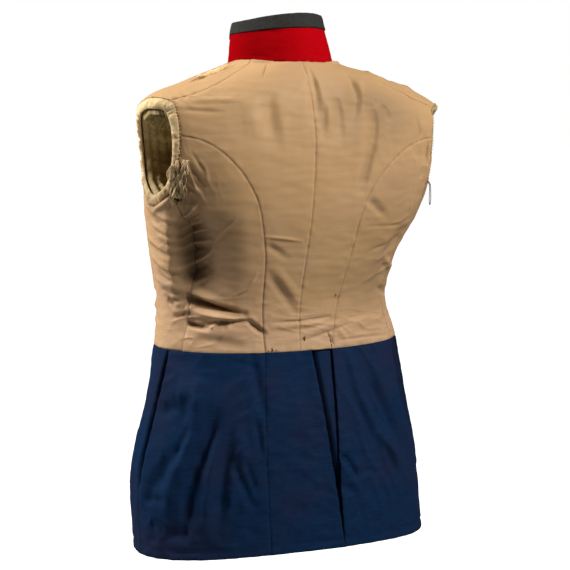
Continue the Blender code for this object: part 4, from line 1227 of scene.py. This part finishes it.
def skirt_places(first, second, spacing):
    """Grid between two lines that run from the waist to the hem."""
    up = edge_fractions(SKIRT_ROWS)
    widest = max(steps_for((first[0], second[0]), spacing), steps_for((first[-1], second[-1]), spacing))
    across = edge_fractions(widest)
    return patch_places(even_line((first[0], second[0]), across), even_line((first[-1], second[-1]), across),
                        even_line(first, up), even_line(second, up), across, up)


vent, pleat, skirt_seam = (dense_line(rows) for rows in (VENT_EDGE, PLEAT_EDGE, SKIRT_SEAM))
strip_left, strip_right = (dense_line(rows) for rows in (STRIP_LEFT, STRIP_RIGHT))
pocket_left, pocket_right = (dense_line(POCKET_LINE, side) for side in (1, -1))
edge_left, edge_right = (np.array(((edge, WAIST), (edge, 0.0))) for edge in (FRONT_EDGE, -FRONT_EDGE))
skirt_panels = {
    "skirt_back_left": (skirt_places(vent, skirt_seam, BACK_SPACING), vent_lift),
    "skirt_back_right": (skirt_places(strip_right, strip_left, BACK_SPACING), strip_sink),
    "skirt_side_left": (skirt_places(skirt_seam, pocket_left, BACK_SPACING), hem_groove),
    "skirt_side_right": (skirt_places(pleat, pocket_right, BACK_SPACING), pleat_lift),
    "skirt_front_left": (skirt_places(pocket_left, edge_left, FRONT_SPACING), skirt_lap),
    "skirt_front_right": (skirt_places(pocket_right, edge_right, FRONT_SPACING), hem_groove),
}
# Painted shadow along the vent on the strip, and along the right pocket line.
SKIRT_SHADES = {"skirt_back_right": strip_shade, "skirt_side_right": pocket_shade}
# The vent's and the pleat's edges show dark: painted shadow of the gaps at these edges.
SKIRT_PAINTED_SHADOW_EDGES = {"skirt_back_left": vent, "skirt_side_right": pleat}
for node, (places, lift) in skirt_panels.items():
    creases, crumples = ({}, {}) if node == "skirt_back_right" else (SKIRT_CREASES, SKIRT_CRUMPLES)
    panel = make_cloth(node + "_cloth", [places], BODY_RINGS, creases, crumples, SKIRT_WALL, navy_wool,
                       navy_reverse, lift, marked_line=SKIRT_PAINTED_SHADOW_EDGES.get(node), shade=SKIRT_SHADES.get(node))
    hang_cloth(panel, node)

# Buttons: seven plain domed brass buttons with a turned edge, sewn down the lap of the fronts.
BUTTON_RADIUS = 0.0085
BUTTON_HEIGHT = 0.0042
BUTTON_COUNT = 7
BUTTON_TURNS = 40
# Columns: reach from the middle, height, both as parts of the radius and the height.
BUTTON_PROFILE = (
    (0.0, 0.0), (0.90, 0.0), (0.99, 0.06), (1.0, 0.16), (0.97, 0.27), (0.91, 0.33),
    (0.86, 0.36), (0.80, 0.50), (0.68, 0.70), (0.52, 0.86), (0.30, 0.96), (0.0, 1.0),
)

brass = bpy.data.materials.new("aged_brass")
brass.use_nodes = True
brass_nodes, brass_links = brass.node_tree.nodes, brass.node_tree.links
brass_shader = brass_nodes["Principled BSDF"]
brass_shader.inputs["Metallic"].default_value = 1.0
brass_place = brass_nodes.new("ShaderNodeTexCoord")
tarnish = brass_nodes.new("ShaderNodeTexNoise")
tarnish.inputs["Scale"].default_value = 260.0
tarnish.inputs["Detail"].default_value = 4.0
brass_links.new(brass_place.outputs["Object"], tarnish.inputs["Vector"])
brass_tone = brass_nodes.new("ShaderNodeValToRGB")
tones = ((0.35, (0.34, 0.22, 0.08, 1.0)), (0.62, (0.74, 0.54, 0.24, 1.0)))
for element, (position, colour) in zip(brass_tone.color_ramp.elements, tones):
    element.position = position
    element.color = colour
brass_links.new(tarnish.outputs[0], brass_tone.inputs[0])
brass_links.new(brass_tone.outputs[0], brass_shader.inputs["Base Color"])
brass_rough = brass_nodes.new("ShaderNodeMapRange")
for number, value in enumerate((0.3, 0.7, 0.48, 0.26)):
    brass_rough.inputs[number + 1].default_value = value
brass_links.new(tarnish.outputs[0], brass_rough.inputs[0])
brass_links.new(brass_rough.outputs[0], brass_shader.inputs["Roughness"])

for number in range(1, BUTTON_COUNT + 1):
    node = "button_%d" % number
    low, high = (np.array(corner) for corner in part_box(node))
    middle = (low + high) / 2
    levels = np.linspace(WAIST, NECK, 400)
    centre_front = np.full(len(levels), 180.0)
    front = form_points(BODY_RINGS, centre_front, levels)
    nearest = int(np.argmin(np.abs(front[:, 2] - middle[2])))
    out = Vector(outward_ways(BODY_RINGS, centre_front[:1], levels[nearest:nearest + 1])[0])
    work = bmesh.new()
    profile = [(reach * BUTTON_RADIUS, 0.0, (rise - 0.5) * BUTTON_HEIGHT) for reach, rise in BUTTON_PROFILE]
    line = [work.verts.new(place) for place in profile]
    edges = [work.edges.new(pair) for pair in zip(line, line[1:])]
    bmesh.ops.spin(work, geom=line + edges, cent=(0, 0, 0), axis=(0, 0, 1), dvec=(0, 0, 0), angle=2 * math.pi,
                   steps=BUTTON_TURNS, use_merge=True)
    bmesh.ops.remove_doubles(work, verts=work.verts, dist=WELD)
    bmesh.ops.recalc_face_normals(work, faces=work.faces)
    turn = out.to_track_quat("Z", "Y").to_matrix().to_4x4()
    bmesh.ops.transform(work, matrix=turn, verts=work.verts)
    bmesh.ops.translate(work, verts=work.verts, vec=middle)
    button = mesh_piece(node + "_dome", work, brass)
    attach(button, "root")
    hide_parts(node)

# Thread loop: a worn loop of brown thread hanging from the panel beside the right armhole's rim.
# Columns: along the rim, out from the cloth, down from the anchor.
LOOP_ROUTE = (
    (-0.0020, 0.0005, 0.000), (-0.0022, 0.0032, 0.001), (-0.0026, 0.0048, 0.004), (-0.0031, 0.0052, 0.010),
    (-0.0036, 0.0052, 0.017), (-0.0040, 0.0052, 0.024), (-0.0030, 0.0051, 0.0295), (0.0000, 0.0050, 0.0320),
    (0.0030, 0.0051, 0.0295), (0.0040, 0.0052, 0.024), (0.0036, 0.0052, 0.017), (0.0031, 0.0052, 0.010),
    (0.0026, 0.0048, 0.004), (0.0022, 0.0032, 0.001), (0.0020, 0.0005, 0.000),
)
LOOP_THICKNESS = 0.0012
# Place of the anchor along the armhole's edge, and how far it lies off that edge.
LOOP_STOP = 20
LOOP_OFF_EDGE = np.array((2.2, -0.10))

brown_thread = cloth_material("brown_thread", (0.050, 0.032, 0.016), (0.110, 0.072, 0.040),
                              (0.07, 0.045, 0.024), (0.05, 0.03, 0.015), threads=2600.0, streaks=900.0,
                              roughness=(0.7, 0.9))
loop_place = dense_line(ARMHOLE, -1, "back_low", "side_seam", closed=True)[LOOP_STOP] + LOOP_OFF_EDGE
loop_angle, loop_level = loop_place[:1], loop_place[1:]
loop_out = outward_ways(BODY_RINGS, loop_angle, loop_level)[0]
anchor = form_points(BODY_RINGS, loop_angle, loop_level)[0]
rim_way = np.cross((0.0, 0.0, 1.0), loop_out)
rim_way /= np.linalg.norm(rim_way)
loop_curve = bpy.data.curves.new("armhole_loop_thread", "CURVE")
loop_curve.dimensions = "3D"
loop_curve.bevel_depth = LOOP_THICKNESS / 2
loop_curve.bevel_resolution = 3
loop_curve.use_fill_caps = True
loop_line = loop_curve.splines.new("POLY")
loop_line.points.add(len(LOOP_ROUTE) - 1)
for spot, (aside, out, down) in zip(loop_line.points, LOOP_ROUTE):
    spot.co = (*(anchor + rim_way * aside + loop_out * out - np.array((0.0, 0.0, down))), 1.0)
loop_curve.materials.append(brown_thread)
loop = bpy.data.objects.new("armhole_loop_thread", loop_curve)
scene.collection.objects.link(loop)
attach(loop, "root")
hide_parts("armhole_loop")

# Thread work and wear: overcast stitches round the armhole rims, tacking stitches at the waist, the shreds
# and threads of the worn hole by the left armhole, and the roll in the split on the left shoulder.
STITCH_FLAT_ON_RIGHT = 0.4
OVERCAST_STEP = 0.0042
OVERCAST_RADIUS = 0.00035
OVERCAST_REACH = 0.0022
OVERCAST_MORE = 0.0010
# Stops along one stitch, as parts of its reach, and its distance off the cloth at each.
OVERCAST_STOPS = np.array((-1.0, -0.4, 0.3, 0.9))[:, None]
OVERCAST_OFF = np.array((-0.0004, 0.0010, 0.0026, 0.0022))
ARMHOLE_MIDDLE = (85.0, 7.15)
TACK_RADIUS = 0.0005
TACK_OFF = 0.0002
TACK_BULGE = 0.0007
SPLIT_ROLL_RADIUS = 0.0033
SPLIT_ROLL_OFF = 0.0030
SHRED_COUNT = 12
SHRED_WALL = 0.0006
FRAY_COUNT = 16
WADDING_DEPTH = 0.0044
WADDING_STEPS = 24
WADDING_LEVELS = (6.10, 7.05)
WADDING_BACK_ANGLE = 52.5
WADDING_EDGE_LEVELS = (6.42, 6.90)
WADDING_EDGE_ANGLES = (64.6, 58.8)
WADDING_WALL = 0.0008
# Columns: start angle, start level, end angle, end level of each tacking stitch.
TACK_STITCHES = (
    (12.3, 3.10, 11.6, 3.02), (11.9, 3.07, 12.6, 3.00), (-1.6, 3.30, -2.6, 3.22), (-2.4, 3.33, -2.2, 3.20),
    (-13.7, 3.34, -14.3, 3.24), (-14.2, 3.22, -14.6, 3.12), (-14.6, 3.10, -14.4, 3.02),
    (-17.2, 4.24, -17.8, 4.20), (-19.6, 4.22, -20.0, 4.18), (13.2, 3.04, 13.9, 3.03),
    (10.6, 3.05, 10.0, 3.04),
)

cream_thread = cloth_material("cream_thread", (0.47, 0.34, 0.175), (0.66, 0.50, 0.280), (0.48, 0.35, 0.17),
                              (0.40, 0.30, 0.14), threads=1800.0, streaks=300.0, roughness=(0.7, 0.9))
dark_thread = cloth_material("dark_thread", (0.045, 0.026, 0.012), (0.090, 0.055, 0.028), (0.05, 0.03, 0.015),
                             (0.04, 0.02, 0.01), threads=1800.0, streaks=300.0, roughness=(0.7, 0.9))
draw = np.random.default_rng(11)


def worn_points(angle, level, off):
    """Points on the worn body with its creases, a distance off the cloth."""
    angle, level = np.asarray(angle, dtype=float), np.asarray(level, dtype=float)
    base = form_points(BODY_RINGS, angle, level)
    height = crease_height(BODY_CREASES, angle, level) + crumple_height(BODY_CRUMPLES, angle, level) + off
    return base + outward_ways(BODY_RINGS, angle, level) * height[:, None]


def add_tube(work, path, radius, sides=5):
    """Thread along a path of points, drawn from a grid rolled into a tube and closed at its ends."""
    path = np.asarray(path)
    along = np.gradient(path, axis=0)
    along /= np.linalg.norm(along, axis=1, keepdims=True)
    first = np.cross(along, (0.31, 0.22, 0.92))
    first /= np.linalg.norm(first, axis=1, keepdims=True)
    second = np.cross(along, first)
    turn = np.linspace(0.0, 2 * math.pi, sides + 1)[:, None, None]
    thick = np.zeros(len(path)) + radius
    thick[[0, -1]] *= 0.3
    thick = thick[None, :, None]
    rows = path[None] + thick * (np.cos(turn) * first[None] + np.sin(turn) * second[None])
    rows[-1] = rows[0]
    grid_mesh(work, rows)


def thread_piece(name, work, material, wall=0.0):
    """One joined mesh of thread work on the coat."""
    bmesh.ops.remove_doubles(work, verts=work.verts, dist=0.000005)
    bmesh.ops.recalc_face_normals(work, faces=work.faces)
    piece = mesh_piece(name, work, material)
    if wall:
        add_wall(piece, wall, 0.0)
    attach(piece, "root")


for side, word in ((1, "left"), (-1, "right")):
    work = bmesh.new()
    ring = dense_line(ARMHOLE, side, "shoulder_seam", "shoulder_seam", closed=True)
    count = int(run_of(ring)[-1] / OVERCAST_STEP)
    stops = even_line(ring, count)[:-1]
    following = np.roll(stops, -1, axis=0)
    middle = np.array(ARMHOLE_MIDDLE) * np.array((side, 1.0))
    flat = 1.0 if side > 0 else STITCH_FLAT_ON_RIGHT
    for place, step in zip(stops, following - stops):
        to_hole = (middle - place) * RUN
        to_hole = to_hole / np.linalg.norm(to_hole) / RUN
        reach = (OVERCAST_REACH + OVERCAST_MORE * draw.random()) * flat
        slant = 0.3 + 0.3 * draw.random()
        line = place + OVERCAST_STOPS * reach * to_hole + (OVERCAST_STOPS + 1) * slant * step * 0.5
        add_tube(work, worn_points(line[:, 0], line[:, 1], OVERCAST_OFF * flat), OVERCAST_RADIUS)
    thread_piece("armhole_stitches_" + word, work, cream_thread)

work = bmesh.new()
for start_angle, start_level, end_angle, end_level in TACK_STITCHES:
    parts = np.linspace(0.0, 1.0, 5)
    line_angle = start_angle + (end_angle - start_angle) * parts
    line_level = start_level + (end_level - start_level) * parts
    off = TACK_BULGE * np.sin(math.pi * parts) + TACK_OFF
    add_tube(work, worn_points(line_angle, line_level, off), TACK_RADIUS)
thread_piece("waist_tacking", work, dark_thread)

# Shreds of the worn hole, from its upper to its lower edge.
work = bmesh.new()
for number in range(SHRED_COUNT):
    parts = np.linspace(0.0, 1.0, 15)
    start = TEAR_ANGLE + TEAR_HALF_ANGLE * (2.2 * number / (SHRED_COUNT - 1) - 1.1)
    sway = draw.normal(0.0, 1.1) * np.sin(math.pi * parts)
    sway += 0.45 * np.sin(parts * draw.uniform(5, 10) + number)
    level = TEAR_LEVEL + TEAR_HALF_LEVEL * (draw.uniform(0.5, 1.2) - draw.uniform(1.3, 2.1) * parts)
    angle = start - (level - TEAR_LEVEL) * TEAR_SLANT + sway
    off = 0.0006 + 0.0050 * draw.random() * np.sin(math.pi * parts) + 0.0014 * np.sin(parts * 9 + number)
    half = draw.uniform(0.50, 1.00) * (1 - 0.35 * parts) * (1 + 0.3 * np.sin(parts * 8 + number))
    twist = 0.0012 * np.sin(parts * draw.uniform(3, 8) + number * 1.7)
    edges = [worn_points(angle + spread * half, level, off + spread * twist) for spread in (-1.0, 0.0, 1.0)]
    grid_mesh(work, np.stack(edges))
worn_cotton = cloth_material("worn_cotton", (0.340, 0.229, 0.115), (0.592, 0.444, 0.252),
                             (0.26, 0.165, 0.075), (0.20, 0.12, 0.06), threads=900.0, streaks=240.0,
                             roughness=(0.65, 0.85), contrast=(0.40, 0.60), stain_scale=120.0, stain_most=0.6)
thread_piece("armhole_shreds", work, worn_cotton, SHRED_WALL)

# Dark sheet behind the worn hole, drawn as wool wadding: its dark colour is painted shade for the inside of
# the coat seen through the hole.
work = bmesh.new()
pad_steps = np.linspace(0.0, 1.0, WADDING_STEPS)
pad_level, pad_part = np.meshgrid(np.linspace(*WADDING_LEVELS, WADDING_STEPS), pad_steps, indexing="ij")
pad_edge = np.interp(pad_level, WADDING_EDGE_LEVELS, WADDING_EDGE_ANGLES)
pad_angle = WADDING_BACK_ANGLE + (pad_edge - WADDING_BACK_ANGLE) * pad_part
pad_points = worn_points(pad_angle.ravel(), pad_level.ravel(), -WADDING_DEPTH)
grid_mesh(work, pad_points.reshape(WADDING_STEPS, WADDING_STEPS, 3))
wadding_painted_shade = cloth_material("wadding_painted_shade", (0.060, 0.040, 0.022), (0.150, 0.100, 0.055),
                               (0.05, 0.03, 0.016), (0.05, 0.03, 0.016), threads=700.0, streaks=500.0,
                               roughness=(0.8, 0.95), relief=0.0012)
thread_piece("armhole_wadding_painted_shade", work, wadding_painted_shade, WADDING_WALL)

# Loose threads over the shreds, curling off the cloth.
work = bmesh.new()
for number in range(FRAY_COUNT):
    parts = np.linspace(0.0, 1.0, 12)
    start = TEAR_ANGLE + TEAR_HALF_ANGLE * draw.uniform(-1.5, 1.4)
    top = TEAR_LEVEL + TEAR_HALF_LEVEL * draw.uniform(-0.3, 1.2)
    level = top - TEAR_HALF_LEVEL * draw.uniform(0.5, 1.5) * parts
    curl = draw.uniform(0.4, 1.3) * np.sin(parts * draw.uniform(4, 10))
    angle = start - (level - TEAR_LEVEL) * TEAR_SLANT + curl
    off = 0.0008 + draw.uniform(0.001, 0.004) * np.sin(math.pi * parts)
    add_tube(work, worn_points(angle, level, off), draw.uniform(0.0003, 0.0005))
thread_piece("armhole_frays", work, cream_thread)

# Roll of the cream layer below that shows through the split on the left shoulder ridge.
work = bmesh.new()
parts = np.linspace(0.0, 1.0, 40)
roll_angle = 73.5 - 5.0 * parts
roll_level = 9.10 + 0.64 * parts
thick = SPLIT_ROLL_RADIUS * np.sin(math.pi * (0.06 + 0.88 * parts)) ** 0.6 * (1 + 0.10 * np.sin(parts * 19))
add_tube(work, worn_points(roll_angle, roll_level, 0.9 * thick + SPLIT_ROLL_OFF), thick, 10)
thread_piece("shoulder_split_roll", work, cream_cotton)
